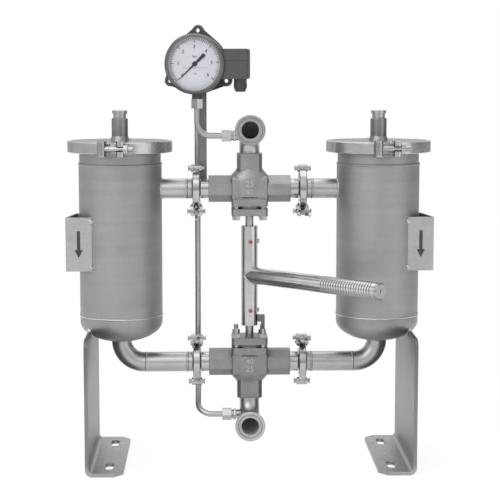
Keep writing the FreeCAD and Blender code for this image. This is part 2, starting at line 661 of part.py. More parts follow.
def filter_element():
    """Perforated tube on a base ring, closed by a cap with a bail to lift it by."""
    inner = ELEMENT_RADIUS - ELEMENT_WALL
    wall_base = SEAT_Z + ELEMENT_BASE_HEIGHT
    base = pipe(VESSEL_BORE - GAP, inner, Z * SEAT_Z, Z, ELEMENT_BASE_HEIGHT)
    wall = pipe(ELEMENT_RADIUS, inner, Z * wall_base, Z, ELEMENT_TOP_Z - wall_base)
    row_pitch = (ELEMENT_TOP_Z - wall_base) / WINDOW_ROWS
    for row in range(WINDOW_ROWS):
        low = wall_base + row_pitch * (row + 0.5) - WINDOW_HEIGHT / 2
        for i in range(WINDOWS_ROUND // 2):
            window = block(-FAR / 10, FAR / 10, -WINDOW_WIDTH / 2, WINDOW_WIDTH / 2, low,
                           low + WINDOW_HEIGHT)
            wall = wall.cut(moved(window, ORIGIN, 360 / WINDOWS_ROUND * i))
    cap = rod(ELEMENT_RADIUS, Z * ELEMENT_TOP_Z, Z, ELEMENT_CAP_HEIGHT)
    bail_base = ELEMENT_TOP_Z + ELEMENT_CAP_HEIGHT / 2
    ring = Part.makeTorus(BAIL_RADIUS, BAIL_ROD_RADIUS, Z * bail_base, Y)
    bail = ring.common(block(-FAR, FAR, -FAR, FAR, bail_base, FAR))
    return moved(fuse(base, wall, cap, bail), X * VESSEL_X)


def rounded_plate(low, high):
    half = PLATE_WIDTH / 2
    plate = block(-half, half, -half, half, low, high)
    return plate.makeFillet(PLATE_ROUND, vertical_edges(plate))


def bolt_places():
    half = BONNET_BOLT_SPAN / 2
    return [V(x, y, 0) for x in (-half, half) for y in (-half, half)]


def valve_body():
    """Cast body, drawn on its own axis with the common port upwards."""
    core = block(-BODY_HALF_X, BODY_HALF_X, -BODY_HALF_Y, BODY_HALF_Y, -BODY_PLATE_TOP, BODY_HALF_Z)
    core = core.makeFillet(BODY_ROUND, [edge for edge in core.Edges if edge.BoundBox.ZMax > 0])
    socket = polygon_bar(8, SOCKET_FLATS, X * -SOCKET_END, X, 2 * SOCKET_END)
    neck_half = PORT_NECK / 2
    neck = block(-neck_half, neck_half, -neck_half, neck_half, 0, PORT_NECK_TOP)
    neck = neck.makeChamfer(PORT_NECK_CHAMFER, vertical_edges(neck))
    body = fuse(core, socket, neck, rounded_plate(-BODY_PLATE_BASE, -BODY_PLATE_TOP))
    chamber = rod(PLUG_RADIUS + FIT, Z * -BODY_PLATE_BASE, Z, BODY_PLATE_BASE + PLUG_HALF + GAP)
    run = rod(BORE_RADIUS, X * -SOCKET_END, X, 2 * SOCKET_END)
    port = rod(BORE_RADIUS, ORIGIN, Z, PORT_NECK_TOP)
    threads = [rod(THREAD_RADIUS, X * (way * SOCKET_END), X * -way, THREAD_DEPTH) for way in (-1, 1)]
    threads.append(rod(THREAD_RADIUS, Z * PORT_NECK_TOP, -Z, THREAD_DEPTH))
    holes = [rod(BONNET_BOLT_RADIUS, at - Z * BODY_PLATE_BASE, Z, BODY_PLATE_BASE - BODY_PLATE_TOP)
             for at in bolt_places()]
    return cut(body, chamber, run, port, *threads, *holes)


def valve_bonnet():
    spigot_top = -BODY_PLATE_BASE - BONNET_GASKET
    spigot = rod(BONNET_SPIGOT_RADIUS + 3, Z * -BONNET_TOP, Z, spigot_top + BONNET_TOP)
    bonnet = fuse(rounded_plate(-BONNET_BASE, -BONNET_TOP), spigot)
    stem = rod(STEM_RADIUS + FIT, Z * -BONNET_BASE, Z, BONNET_BASE)
    packing = rod(PACKING_RADIUS, Z * spigot_top, -Z, PACKING_HEIGHT)
    holes = [rod(BONNET_BOLT_RADIUS, at - Z * BONNET_BASE, Z, BONNET_BASE - BONNET_TOP)
             for at in bolt_places()]
    return cut(bonnet, stem, packing, *holes)


def valve_seals():
    gasket_base = -BODY_PLATE_BASE - BONNET_GASKET
    gasket = pipe(BONNET_SPIGOT_RADIUS + 3, PLUG_RADIUS + 1, Z * gasket_base, Z, BONNET_GASKET)
    packing = pipe(PACKING_RADIUS, STEM_RADIUS + GAP, Z * (gasket_base - PACKING_HEIGHT), Z,
                   PACKING_HEIGHT)
    return [gasket, packing]


def bonnet_bolts(stud):
    """Four hexagon screws, or studs that stand above their nuts."""
    bolts = []
    for at in bolt_places():
        base = at - Z * BONNET_BASE
        head = polygon_bar(6, BONNET_HEAD_FLATS, base, -Z, BONNET_HEAD_HEIGHT)
        shank = rod(BONNET_BOLT_RADIUS, base, Z, BONNET_BASE - BODY_PLATE_TOP)
        pieces = [shank]
        if stud:
            pieces.append(rod(BONNET_BOLT_RADIUS, base, -Z, BONNET_HEAD_HEIGHT + STUD_RISE))
        bolts.append(fuse(head, *pieces))
    return bolts


def valve_plug(stem_tip):
    """Plug with openings to the right, to the front and to the common port, and its stem."""
    barrel = rod(PLUG_RADIUS, Z * -PLUG_HALF, Z, 2 * PLUG_HALF)
    cores = [rod(PLUG_PORT_RADIUS, ORIGIN, way, PLUG_RADIUS) for way in (X, -Y, Z)]
    cores.append(Part.makeSphere(PLUG_PORT_RADIUS))
    stem = rod(STEM_RADIUS, Z * stem_tip, Z, -PLUG_HALF - stem_tip)
    return fuse(cut(barrel, *cores), stem)


def port_elbow():
    """Stub from the valve's neck, quarter bend to the front, and ferrule."""
    rise = PORT_AXIS - ELBOW_RADIUS
    low = PORT_NECK_TOP - THREAD_DEPTH
    top = Z * rise
    centre = top - Y * ELBOW_RADIUS
    outer = bend(PIPE_RADIUS, top, Z, centre, X)
    inner = bend(BORE_RADIUS, top, Z, centre, X)
    thread = pipe(THREAD_RADIUS, BORE_RADIUS, Z * low, Z, THREAD_DEPTH)
    stub = pipe(PIPE_RADIUS, BORE_RADIUS, Z * PORT_NECK_TOP, Z, rise - PORT_NECK_TOP)
    face = ferrule(V(0, -PORT_FACE_Y, PORT_AXIS), Y, PORT_FACE_Y - ELBOW_RADIUS)
    return fuse(outer.cut(inner), thread, stub, face)


def clamp_adapter():
    """Threaded nipple from the valve's socket to the clamp."""
    start = CLAMP_X - GASKET_THICKNESS / 2
    length = start - SOCKET_END
    face = ferrule(X * start, -X, length)
    thread = pipe(THREAD_RADIUS, BORE_RADIUS, X * (SOCKET_END - THREAD_DEPTH), X, THREAD_DEPTH)
    return fuse(face, thread)


def clamp_gasket():
    start = CLAMP_X - GASKET_THICKNESS / 2
    return pipe(FERRULE_RADIUS - 1, BORE_RADIUS, X * start, X, GASKET_THICKNESS)


def fork_block(front, back):
    """Ears that flare out of the ring on both sides of the swing bolt."""
    corners = [V(x, front, z) for x, z in FORK_OUTLINE]
    return Part.Face(Part.makePolygon(corners + corners[:1])).extrude(Y * (back - front))


def clamp_halves():
    """Front and back half, drawn at the origin with the swing bolt on top."""
    half = CLAMP_HALF_WIDTH
    rim = FERRULE_RIM + GASKET_THICKNESS / 2 + GAP
    edge = FERRULE_RADIUS + GAP
    inner = rim + (edge - CLAMP_LIP_RADIUS) * BEVEL
    ring = turned([(CLAMP_LIP_RADIUS, inner), (CLAMP_LIP_RADIUS, half), (CLAMP_RADIUS - 1, half),
                   (CLAMP_RADIUS, half - 1), (CLAMP_RADIUS, 1 - half), (CLAMP_RADIUS - 1, -half),
                   (CLAMP_LIP_RADIUS, -half), (CLAMP_LIP_RADIUS, -inner), (edge, -rim), (edge, rim)],
                  ORIGIN, X)
    hinge = Z * -CLAMP_HINGE
    pivot = V(0, SWING_PIVOT_Y, SWING_OFFSET)
    free = CLAMP_KNUCKLE_RADIUS + GAP
    slot_base = SWING_OFFSET - SWING_EYE_RADIUS - GAP
    slot_half = SWING_RADIUS + GAP
    slot = block(-slot_half, slot_half, -FAR, FAR, slot_base, FAR)
    bore = rod(edge, -X * FAR, X, 2 * FAR)
    pin = rod(CLAMP_HINGE_RADIUS, hinge - X * CLAMP_KNUCKLE_OUTER, X, 2 * CLAMP_KNUCKLE_OUTER)
    middle = rod(CLAMP_KNUCKLE_RADIUS, hinge - X * CLAMP_KNUCKLE_HALF, X, 2 * CLAMP_KNUCKLE_HALF)
    room = CLAMP_KNUCKLE_HALF + GAP
    sides = [block(way * room, way * CLAMP_KNUCKLE_OUTER, -FAR, FAR, -FAR, FAR) if way > 0 else
             block(way * CLAMP_KNUCKLE_OUTER, way * room, -FAR, FAR, -FAR, FAR) for way in (-1, 1)]
    long_knuckle = rod(CLAMP_KNUCKLE_RADIUS, hinge - X * CLAMP_KNUCKLE_OUTER, X, 2 * CLAMP_KNUCKLE_OUTER)
    outer = [long_knuckle.common(side) for side in sides]
    front = ring.common(block(-FAR, FAR, -FAR, -CLAMP_HALVES_GAP / 2, -FAR, FAR))
    for side in (-1, 1):
        start = hinge + X * (side * CLAMP_KNUCKLE_HALF)
        front = front.cut(rod(free, start, X * side, CLAMP_KNUCKLE_OUTER))
    reach = rod(FORK_FRONT_REACH, pivot - X * FAR, X, 2 * FAR)
    fork = fork_block(SWING_PIVOT_Y - FORK_FRONT_REACH, -CLAMP_HALVES_GAP / 2 - 2).common(reach)
    front = cut(fuse(front, cut(fork, bore), middle), slot, pin)
    back = ring.common(block(-FAR, FAR, CLAMP_HALVES_GAP / 2, FAR, -FAR, FAR))
    back = back.cut(rod(free, hinge - X * room, X, 2 * room))
    round_top = fuse(rod(FORK_BACK_ROUND, pivot - X * FAR, X, 2 * FAR),
                     block(-FAR, FAR, -FAR, FAR, -FAR, SWING_OFFSET))
    ears = fork_block(SWING_PIVOT_Y - FORK_BACK_ROUND, SWING_PIVOT_Y + FORK_BACK_ROUND).common(round_top)
    swing_pin = rod(SWING_PIN_RADIUS, pivot - X * FAR, X, 2 * FAR)
    back = cut(fuse(back, cut(ears, bore), *outer), slot, pin, swing_pin)
    return [front, back]


def clamp_pins():
    hinge_half = CLAMP_HINGE_LENGTH / 2 - PIN_HEAD_HEIGHT
    hinge = headed_pin(CLAMP_HINGE_RADIUS, V(-hinge_half, 0, -CLAMP_HINGE), X, 2 * hinge_half)
    swing = headed_pin(SWING_PIN_RADIUS, V(-SWING_PIN_HALF, SWING_PIVOT_Y, SWING_OFFSET), X,
                       2 * SWING_PIN_HALF)
    return [hinge, swing]


def swing_bolt():
    pivot = V(0, SWING_PIVOT_Y, SWING_OFFSET)
    eye = rod(SWING_EYE_RADIUS, pivot - X * SWING_RADIUS, X, 2 * SWING_RADIUS)
    shank = rod(SWING_RADIUS, pivot, -Y, SWING_REACH)
    return fuse(eye, shank).cut(rod(SWING_PIN_RADIUS + FIT, pivot - X * SWING_PIN_HALF, X,
                                    2 * SWING_PIN_HALF))


def wing_nut(turn):
    """Wing nut on the swing bolt, with its wings turned by an angle."""
    start = V(0, SWING_PIVOT_Y - FORK_FRONT_REACH - GAP, SWING_OFFSET)
    hub = turned([(0, 0), (WING_HUB_RADIUS, 0), (WING_HUB_RADIUS - 1, WING_HUB_HEIGHT),
                  (0, WING_HUB_HEIGHT)], ORIGIN, Z)
    pieces = []
    for way in (-1, 1):
        corners = [V(way * radius, 0, height) for radius, height in WING_OUTLINE]
        face = Part.Face(Part.makePolygon(corners + corners[:1]))
        wing = face.extrude(Y * WING_THICKNESS)
        wing.translate(Y * (-WING_THICKNESS / 2))
        pieces.append(wing)
    nut = fuse(hub, *pieces).cut(rod(SWING_RADIUS + FIT, ORIGIN, Z, FAR))
    nut.rotate(ORIGIN, Z, turn)
    nut.rotate(ORIGIN, X, 90)
    nut.translate(start)
    return nut


def at_clamp(shape, level, side):
    """Upper clamps have their bolts below, and lower clamps above."""
    placed = shape.copy()
    if level == "upper":
        placed = placed.mirror(ORIGIN, Z)
    placed.translate(V(SIDES[side] * CLAMP_X, 0, VALVE_Z[level]))
    return placed


def at_valve(shape, level):
    """The lower valve is the upper one turned over."""
    placed = shape.copy()
    if level == "lower":
        placed = placed.mirror(ORIGIN, Z)
    placed.translate(Z * VALVE_Z[level])
    return placed


def coupling_tube():
    bore = STEM_RADIUS
    tube = pipe(TUBE_RADIUS, bore, Z * TUBE_LOW_Z, Z, TUBE_HIGH_Z - TUBE_LOW_Z)
    return cut(tube, *[rod(SET_SCREW_RADIUS, at, way, TUBE_RADIUS) for at, way in set_screw_places()])


def set_screw_places():
    places = []
    for height in (TUBE_LOW_Z + SET_SCREW_INSET, TUBE_HIGH_Z - SET_SCREW_INSET):
        for angle in SET_SCREW_ANGLES:
            way = V(math.cos(math.radians(angle)), math.sin(math.radians(angle)), 0)
            places.append((Z * height, way))
    return places


def set_screws():
    length = TUBE_RADIUS - STEM_RADIUS + SET_SCREW_HEIGHT
    stem = rod(STEM_RADIUS, Z * TUBE_LOW_Z, Z, TUBE_HIGH_Z - TUBE_LOW_Z)
    return [rod(SET_SCREW_RADIUS, at + way * (STEM_RADIUS - 1), way, length + 1).cut(stem)
            for at, way in set_screw_places()]


def lever_bar():
    """Round bar with a grooved grip, welded to the coupling tube."""
    radius = LEVER_RADIUS
    profile = [(0, 0), (radius, 0)]
    for i in range(GRIP_GROOVES):
        start = GRIP_START + GRIP_PITCH * i
        profile += [(radius, start), (radius - GRIP_DEPTH, start + GRIP_DEPTH),
                    (radius, start + 2 * GRIP_DEPTH)]
    profile += [(radius, LEVER_REACH - LEVER_CHAMFER), (radius - LEVER_CHAMFER, LEVER_REACH),
                (CENTRE_HOLE_RADIUS, LEVER_REACH), (0, LEVER_REACH - 2 * CENTRE_HOLE_RADIUS)]
    angle = math.radians(LEVER_ANGLE)
    bar = turned(profile, Z * LEVER_Z, V(math.cos(angle), math.sin(angle), 0))
    return bar.cut(rod(TUBE_RADIUS, Z * TUBE_LOW_Z, Z, TUBE_HIGH_Z - TUBE_LOW_Z))


def stop_bracket():
    """Upright plate on the lower bonnet with a block beside the coupling tube."""
    base = VALVE_Z["lower"] + BONNET_BASE
    plate = block(STOP_X, STOP_X + STOP_THICKNESS, -STOP_WIDTH / 2, STOP_WIDTH / 2, base,
                  base + STOP_HEIGHT)
    lug = block(TUBE_RADIUS + GAP, STOP_X, -STOP_WIDTH / 2, STOP_WIDTH / 2,
                base + STOP_HEIGHT * 0.7, base + STOP_HEIGHT)
    return fuse(plate, lug)


def smooth_path(points, radius):
    """Wire of straight runs joined by tangent arcs."""
    edges = []
    last = points[0]
    for before, here, after in zip(points, points[1:], points[2:]):
        way_in = (here - before).normalize()
        way_out = (after - here).normalize()
        angle = math.acos(max(-1.0, min(1.0, way_in.dot(way_out))))
        setback = radius * math.tan(angle / 2)
        start = here - way_in * setback
        end = here + way_out * setback
        inward = (way_out - way_in).normalize()
        middle = here + inward * (radius / math.cos(angle / 2) - radius)
        edges.append(Part.LineSegment(last, start).toShape())
        edges.append(Part.Arc(start, middle, end).toShape())
        last = end
    edges.append(Part.LineSegment(last, points[-1]).toShape())
    return Part.Wire(edges)


def bent_tube(points):
    path = smooth_path(points, LINE_BEND)
    way = (points[1] - points[0]).normalize()
    solids = []
    for radius in (LINE_RADIUS, LINE_RADIUS - LINE_WALL):
        ring = Part.Wire(Part.makeCircle(radius, points[0], way))
        solids.append(path.makePipeShell([ring], True, True))
    return solids[0].cut(solids[1])


def tap_height(level):
    """Height of the middle of a port's bend, where its measuring line starts."""
    rise = PORT_AXIS - ELBOW_RADIUS * (1 - math.sqrt(0.5))
    return VALVE_Z[level] + (rise if level == "upper" else -rise)


TAP_Y = -ELBOW_RADIUS * (1 - math.sqrt(0.5))


def fitting(level):
    """Fitting welded on the port's bend, and its union nut."""
    tap = V(0, TAP_Y, tap_height(level))
    elbow = at_valve(bend(PIPE_RADIUS, Z * (PORT_AXIS - ELBOW_RADIUS), Z,
                          V(0, -ELBOW_RADIUS, PORT_AXIS - ELBOW_RADIUS), X), level)
    body = rod(FITTING_BODY_RADIUS, tap - X * (PIPE_RADIUS - 5), -X, FITTING_BODY_END - PIPE_RADIUS + 5)
    body = body.cut(elbow)
    start = tap - X * FITTING_BODY_END
    nut = polygon_bar(6, FITTING_NUT_FLATS, start, -X, FITTING_NUT_LENGTH)
    hole = rod(LINE_RADIUS, start - X * FITTING_SPIGOT, -X, FITTING_NUT_LENGTH)
    return [body, nut.cut(hole)]


def gauge_placed(shape):
    return moved(shape, V(-GAUGE_X, 0, GAUGE_Z), GAUGE_TURN)


def gauge_nut(at):
    """Union nut under one of the gauge's ports."""
    nut = polygon_bar(6, FITTING_NUT_FLATS, at, -Z, FITTING_NUT_LENGTH)
    return nut.cut(rod(LINE_RADIUS, at - Z * FITTING_SPIGOT, -Z, FITTING_NUT_LENGTH))


def gauge_ports():
    """Lower ends of the gauge's two port bosses."""
    return [V(-LINE_X, TAP_Y, PORT_BOSS_Z), V(-LINE_X, REAR_LINE_Y, PORT_BOSS_Z)]


def upper_line():
    start = V(-FITTING_BODY_END - FITTING_SPIGOT, TAP_Y, tap_height("upper"))
    end = gauge_ports()[0] - Z * FITTING_SPIGOT
    return bent_tube([start, V(end.x, end.y, start.z), end])


def lower_line():
    start = V(-FITTING_BODY_END - FITTING_SPIGOT, TAP_Y, tap_height("lower"))
    end = gauge_ports()[1] - Z * FITTING_SPIGOT
    return bent_tube([start, V(end.x, start.y, start.z), V(end.x, end.y, start.z + RISE_START), end])


def polar(radius, degrees):
    """Point on the gauge's face, with its angle from the right."""
    return V(radius * math.cos(math.radians(degrees)), 0, radius * math.sin(math.radians(degrees)))


def drilled(pieces, low, high):
    """Flat pieces joined into one plate, with a hole at each of the three lugs."""
    holes = [rod(LUG_HOLE_RADIUS, polar(LUG_CIRCLE, angle) + Y * low, Y, high - low)
             for angle in LUG_ANGLES]
    return cut(fuse(*pieces), *holes)


def lugged_flange(low, high):
    """Round flange with three tapered lugs, one of them on top."""
    spread = math.degrees(math.acos((FLANGE_RADIUS - LUG_RADIUS) / LUG_CIRCLE))
    pieces = [rod(FLANGE_RADIUS, Y * low, Y, high - low)]
    for angle in LUG_ANGLES:
        tip = polar(LUG_CIRCLE, angle)
        corners = [polar(FLANGE_RADIUS, angle - spread), tip + polar(LUG_RADIUS, angle - spread),
                   tip + polar(LUG_RADIUS, angle + spread), polar(FLANGE_RADIUS, angle + spread)]
        taper = Part.Face(Part.makePolygon(corners + corners[:1])).extrude(Y * (high - low))
        taper.translate(Y * low)
        pieces += [taper, rod(LUG_RADIUS, tip + Y * low, Y, high - low)]
    return drilled(pieces, low, high)


def mounting_plate(low, high):
    """Triangular plate with rounded corners at the three lugs."""
    radius = LUG_RADIUS + PLATE_MARGIN
    corners = [polar(LUG_CIRCLE, angle) + polar(radius, angle + turn)
               for angle in LUG_ANGLES for turn in (-60, 60)]
    middle = Part.Face(Part.makePolygon(corners + corners[:1])).extrude(Y * (high - low))
    middle.translate(Y * low)
    rounds = [rod(radius, polar(LUG_CIRCLE, angle) + Y * low, Y, high - low) for angle in LUG_ANGLES]
    return drilled([middle] + rounds, low, high)


def gauge_case():
    """Round case with its lugged back flange, and the measuring cell behind it."""
    front = BEZEL_FRONT - BEZEL_LIP
    shell = rod(CASE_RADIUS, Y * -front, Y, front + CASE_BACK)
    hollow = rod(CASE_RADIUS - CASE_WALL, Y * -front, Y, front - CASE_WALL)
    flange_back = CASE_BACK + FLANGE_THICKNESS
    flange = lugged_flange(CASE_BACK, flange_back)
    case = gauge_placed(fuse(shell.cut(hollow), flange))
    plate_back = flange_back + PLATE_THICKNESS
    cell = fuse(rod(CELL_RADIUS, Y * plate_back, Y, CELL_BACK - plate_back),
                rod(CELL_SPIGOT_RADIUS, Y * flange_back, Y, PLATE_THICKNESS))
    cell = gauge_placed(cell)
    bosses = [rod(PORT_BOSS_RADIUS, at, Z, GAUGE_Z - PORT_BOSS_Z) for at in gauge_ports()]
    cavity = gauge_placed(rod(CASE_RADIUS - CASE_WALL, Y * -front, Y, front + CASE_BACK))
    return [fuse(case, bosses[0].cut(cavity)), fuse(cell, bosses[1])]


def gauge_bezel():
    inner = CASE_RADIUS - CASE_WALL
    back = BEZEL_FRONT - BEZEL_DEPTH
    ring = turned([(inner - BEZEL_LIP, -BEZEL_FRONT), (BEZEL_RADIUS - BEZEL_CHAMFER, -BEZEL_FRONT),
                   (BEZEL_RADIUS, -BEZEL_FRONT + BEZEL_CHAMFER), (BEZEL_RADIUS, -back), (CASE_RADIUS, -back),
                   (CASE_RADIUS, -BEZEL_FRONT + BEZEL_LIP), (inner - BEZEL_LIP, -BEZEL_FRONT + BEZEL_LIP)],
                  ORIGIN, Y)
    return gauge_placed(ring)


def gauge_glass():
    inner = CASE_RADIUS - CASE_WALL
    front = BEZEL_FRONT - BEZEL_LIP
    return gauge_placed(rod(inner, Y * -front, Y, GLASS_THICKNESS))


def gauge_dial():
    inner = CASE_RADIUS - CASE_WALL
    dial = rod(inner, Y * -DIAL_FRONT, Y, DIAL_THICKNESS)
    return gauge_placed(dial.cut(rod(ARBOR_RADIUS + FIT, Y * -FAR, Y, 2 * FAR)))


def gauge_pointer():
    """Tapered pointer with a broad tail, its hub and its arbor."""
    face = DIAL_FRONT + POINTER_LIFT + POINTER_THICKNESS
    half = POINTER_WIDTH / 2
    blade = Part.Face(Part.makePolygon([
        V(-POINTER_TAIL, 0, -half * 1.6), V(0, 0, -half), V(POINTER_LENGTH, 0, -0.4),
        V(POINTER_LENGTH, 0, 0.4), V(0, 0, half), V(-POINTER_TAIL, 0, half * 1.6),
        V(-POINTER_TAIL, 0, -half * 1.6)])).extrude(Y * POINTER_THICKNESS)
    hub = rod(POINTER_HUB_RADIUS, ORIGIN, Y, POINTER_THICKNESS)
    arbor = rod(ARBOR_RADIUS, ORIGIN, Y, ARBOR_LENGTH)
    pointer = fuse(blade, hub, arbor)
    pointer.rotate(ORIGIN, Y, -POINTER_START)
    pointer.translate(Y * -face)
    return gauge_placed(pointer)


def switch_box():
    """Box beside the gauge, fitted to the side of its case."""
    box = block(BOX_INNER, BOX_OUTER, -BOX_FRONT, CASE_BACK, -BOX_HALF_HEIGHT, BOX_HALF_HEIGHT)
    corners = [edge for edge in box.Edges if edge.BoundBox.XMin > BOX_OUTER - 1e-3]
    box = box.makeFillet(BOX_ROUND, corners)
    return gauge_placed(cut(box, rod(CASE_RADIUS, Y * -FAR, Y, 2 * FAR), cable_hole()))


def cable_hole():
    return rod(GLAND_BORE, V(GLAND_OFFSET, GLAND_Y, -BOX_HALF_HEIGHT), Z, BOX_HALF_HEIGHT)


def cable_gland():
    """Hexagon against the box and a domed cap nut, with the cable's hole through both."""
    step = GLAND_HEIGHT / 3
    top = V(GLAND_OFFSET, GLAND_Y, -BOX_HALF_HEIGHT)
    hexagon = polygon_bar(6, 2 * GLAND_RADIUS - 2, top, -Z, step)
    cap = turned([(0, step), (GLAND_RADIUS, step), (GLAND_RADIUS, 2 * step),
                  (GLAND_RADIUS - 3, 3 * step), (0, 3 * step)], top, -Z)
    return gauge_placed(fuse(hexagon, cap).cut(rod(GLAND_BORE, top, -Z, GLAND_HEIGHT)))


def support():
    """Flat post welded behind the clamp adapter, and the gauge's mounting plate."""
    low = CASE_BACK + FLANGE_THICKNESS
    high = low + PLATE_THICKNESS
    plate = gauge_placed(mounting_plate(low, high).cut(rod(CELL_SPIGOT_RADIUS, Y * low, Y, PLATE_THICKNESS)))
    post = block(-POST_X - POST_WIDTH / 2, -POST_X + POST_WIDTH / 2, PIPE_RADIUS,
                 PIPE_RADIUS + POST_THICKNESS, POST_LOW_Z, POST_HIGH_Z)
    ahead = gauge_placed(block(-FAR, FAR, -FAR, high, -FAR, FAR))
    cell = gauge_placed(rod(CELL_RADIUS, Y * low, Y, CELL_BACK - low))
    adapter = mirrored(at_valve(clamp_adapter(), "upper"), SIDES["left"])
    return [plate, cut(post, ahead, cell, adapter)]


def write_side(name, side):
    """Everything that belongs to one vessel."""
    turn = CLOSURE_TURN[name]
    centre = X * (side * VESSEL_X)
    save(name + "_vessel", mirrored(vessel(), side))
    save(name + "_piping", mirrored(upper_nozzle(), side), mirrored(lower_pipe(), side))
    save(name + "_leg", mirrored(leg(), side))
    save(name + "_arrow_bracket", mirrored(arrow_bracket(), side))
    save(name + "_lid", moved(lid(), centre))
    save(name + "_filter_element", mirrored(filter_element(), side))
    save(name + "_lid_clamp_fixed_half", moved(lid_clamp_fixed_half(), centre, turn))
    save(name + "_lid_clamp_moving_half", moved(lid_clamp_moving_half(), centre, turn))
    save(name + "_lid_clamp_bolt", moved(lid_clamp_bolt(), centre, turn))
    save(name + "_lid_clamp_nut", moved(lid_clamp_nut(), centre, turn))
    save(name + "_vent_screw", moved(vent_screw(), centre))


def write_valves():
    tips = {"upper": TUBE_HIGH_Z - STEM_ENGAGEMENT - VALVE_Z["upper"],
            "lower": VALVE_Z["lower"] - TUBE_LOW_Z - STEM_ENGAGEMENT}
    for level in VALVE_Z:
        save(level + "_valve_body", at_valve(valve_body(), level))
        save(level + "_valve_bonnet", at_valve(valve_bonnet(), level))
        save(level + "_port_elbow", at_valve(port_elbow(), level))
    plugs = [at_valve(valve_plug(tips[level]), level) for level in VALVE_Z]
    save("valve_plugs", *plugs)
    save("bonnet_bolts", *[at_valve(bolt, level) for level in VALVE_Z
                           for bolt in bonnet_bolts(level == "lower")])
    save("valve_seals", *[at_valve(seal, level) for level in VALVE_Z for seal in valve_seals()])
    save("clamp_adapters", *[mirrored(at_valve(clamp_adapter(), level), side)
                             for level in VALVE_Z for side in SIDES.values()])


def write_clamps():
    halves = []
    pins = []
    gaskets = []
    for level in VALVE_Z:
        for side in SIDES:
            place = level + "_" + side
            halves += [at_clamp(half, level, side) for half in clamp_halves()]
            pins += [at_clamp(pin, level, side) for pin in clamp_pins()]
            gaskets.append(mirrored(at_valve(clamp_gasket(), level), SIDES[side]))
            save(place + "_clamp_bolt", at_clamp(swing_bolt(), level, side))
            save(place + "_wing_nut", at_clamp(wing_nut(WING_TURN[place]), level, side))
    save("pipe_clamp_halves", *halves)
    save("pipe_clamp_pins", *pins)
    save("pipe_clamp_gaskets", *gaskets)
    lid_pins = []
    for name, side in SIDES.items():
        lid_pins += [moved(pin, X * (side * VESSEL_X), CLOSURE_TURN[name]) for pin in lid_clamp_pins()]
    save("lid_clamp_pins", *lid_pins)
    save("lid_gaskets", *[moved(lid_gasket(), X * (side * VESSEL_X)) for side in SIDES.values()])


def write_lever():
    save("coupling_tube", coupling_tube())
    save("set_screws", *set_screws())
    save("lever_bar", lever_bar())
    save("stop_bracket", stop_bracket())


def write_gauge():
    save("gauge_case", *gauge_case())
    save("gauge_bezel", gauge_bezel())
    save("gauge_glass", gauge_glass())
    save("gauge_dial", gauge_dial())
    save("gauge_pointer", gauge_pointer())
    save("gauge_switch_box", switch_box())
    save("cable_gland", cable_gland())
    save("gauge_support", *support())
    nuts = [gauge_nut(at) for at in gauge_ports()]
    save("tube_fittings", *fitting("upper"), *fitting("lower"), *nuts)
    save("upper_measuring_line", upper_line())
    save("lower_measuring_line", lower_line())


def main():
    os.makedirs("parts", exist_ok=True)
    for name, side in SIDES.items():
        write_side(name, side)
    write_valves()
    write_clamps()
    write_lever()
    write_gauge()


main()
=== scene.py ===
import bpy
import math
from mathutils import Matrix, Vector


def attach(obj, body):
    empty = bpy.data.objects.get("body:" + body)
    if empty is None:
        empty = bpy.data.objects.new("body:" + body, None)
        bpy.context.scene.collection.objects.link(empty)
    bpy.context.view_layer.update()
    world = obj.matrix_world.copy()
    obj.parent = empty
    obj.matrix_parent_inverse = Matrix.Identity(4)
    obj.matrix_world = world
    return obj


# Materials, dressing, lights and camera of the duplex strainer. The CAD nodes keep their own meshes and
# get a material each. The pieces made here are thin trim that rides on them: weld beads and tacks,
# seams, threads, the castings' swell and marks, rim lines, lacquer, arrows and the dial's printing.
# Lengths are millimetres in the part's own frame. Node trees read places in metres.

MM = 0.001
SIDES = {"left": -1, "right": 1}

# Vessels, with their dished bottoms, legs and brackets
VESSEL_X = 218.0
VESSEL_RADIUS = 69.85
NECK_RADIUS = 68.5
NECK_Z = 507.0
LOWER_SEAM_Z = 251.0
DISH_START_Z = 240.0
DISH_DEPTH = 35.0
LEG_FACES = (("inner", 49.0), ("outer", 55.0))      # from the vessel's axis
LEG_TOP_DROP = 14.0                                 # below the start of the dish
LEG_WELD_END = (52.0, -42.5, 229.0)                 # out from the vessel's axis, across, high
BRACKET_FRONT_Y = -53.5
BRACKET_BACK_Y = 27.5
FRONT_TACKS = (("top", 414.0), ("bottom", 337.0))
BACK_TACKS = (("high", 410.0), ("low", 342.0))
ARROW_X = 285.0
ARROW_Z = 376.0
ARROW_CORNERS = [(-2.8, 22.5), (2.8, 22.5), (2.8, -9.0), (7.0, -9.0), (0.0, -22.5), (-7.0, -9.0),
                 (-2.8, -9.0)]

# Lids and their closures
PARTING_Z = 536.5
VENT_TOP_Z = 584.0
VENT_RADIUS = 12.6
KNURL_LOW = 8.2                                     # heights above the top of the vent's boss
KNURL_HIGH = 11.6
KNURL_RIDGES = 44
CLOSURE_TURN = {"left": -5.5, "right": 3.5}         # degrees
CLOSURE_Y = -97.0
CLOSURE_THREAD_X = -8.0
CLOSURE_THREAD_LENGTH = 17.0
THREAD_RADIUS = 3.7

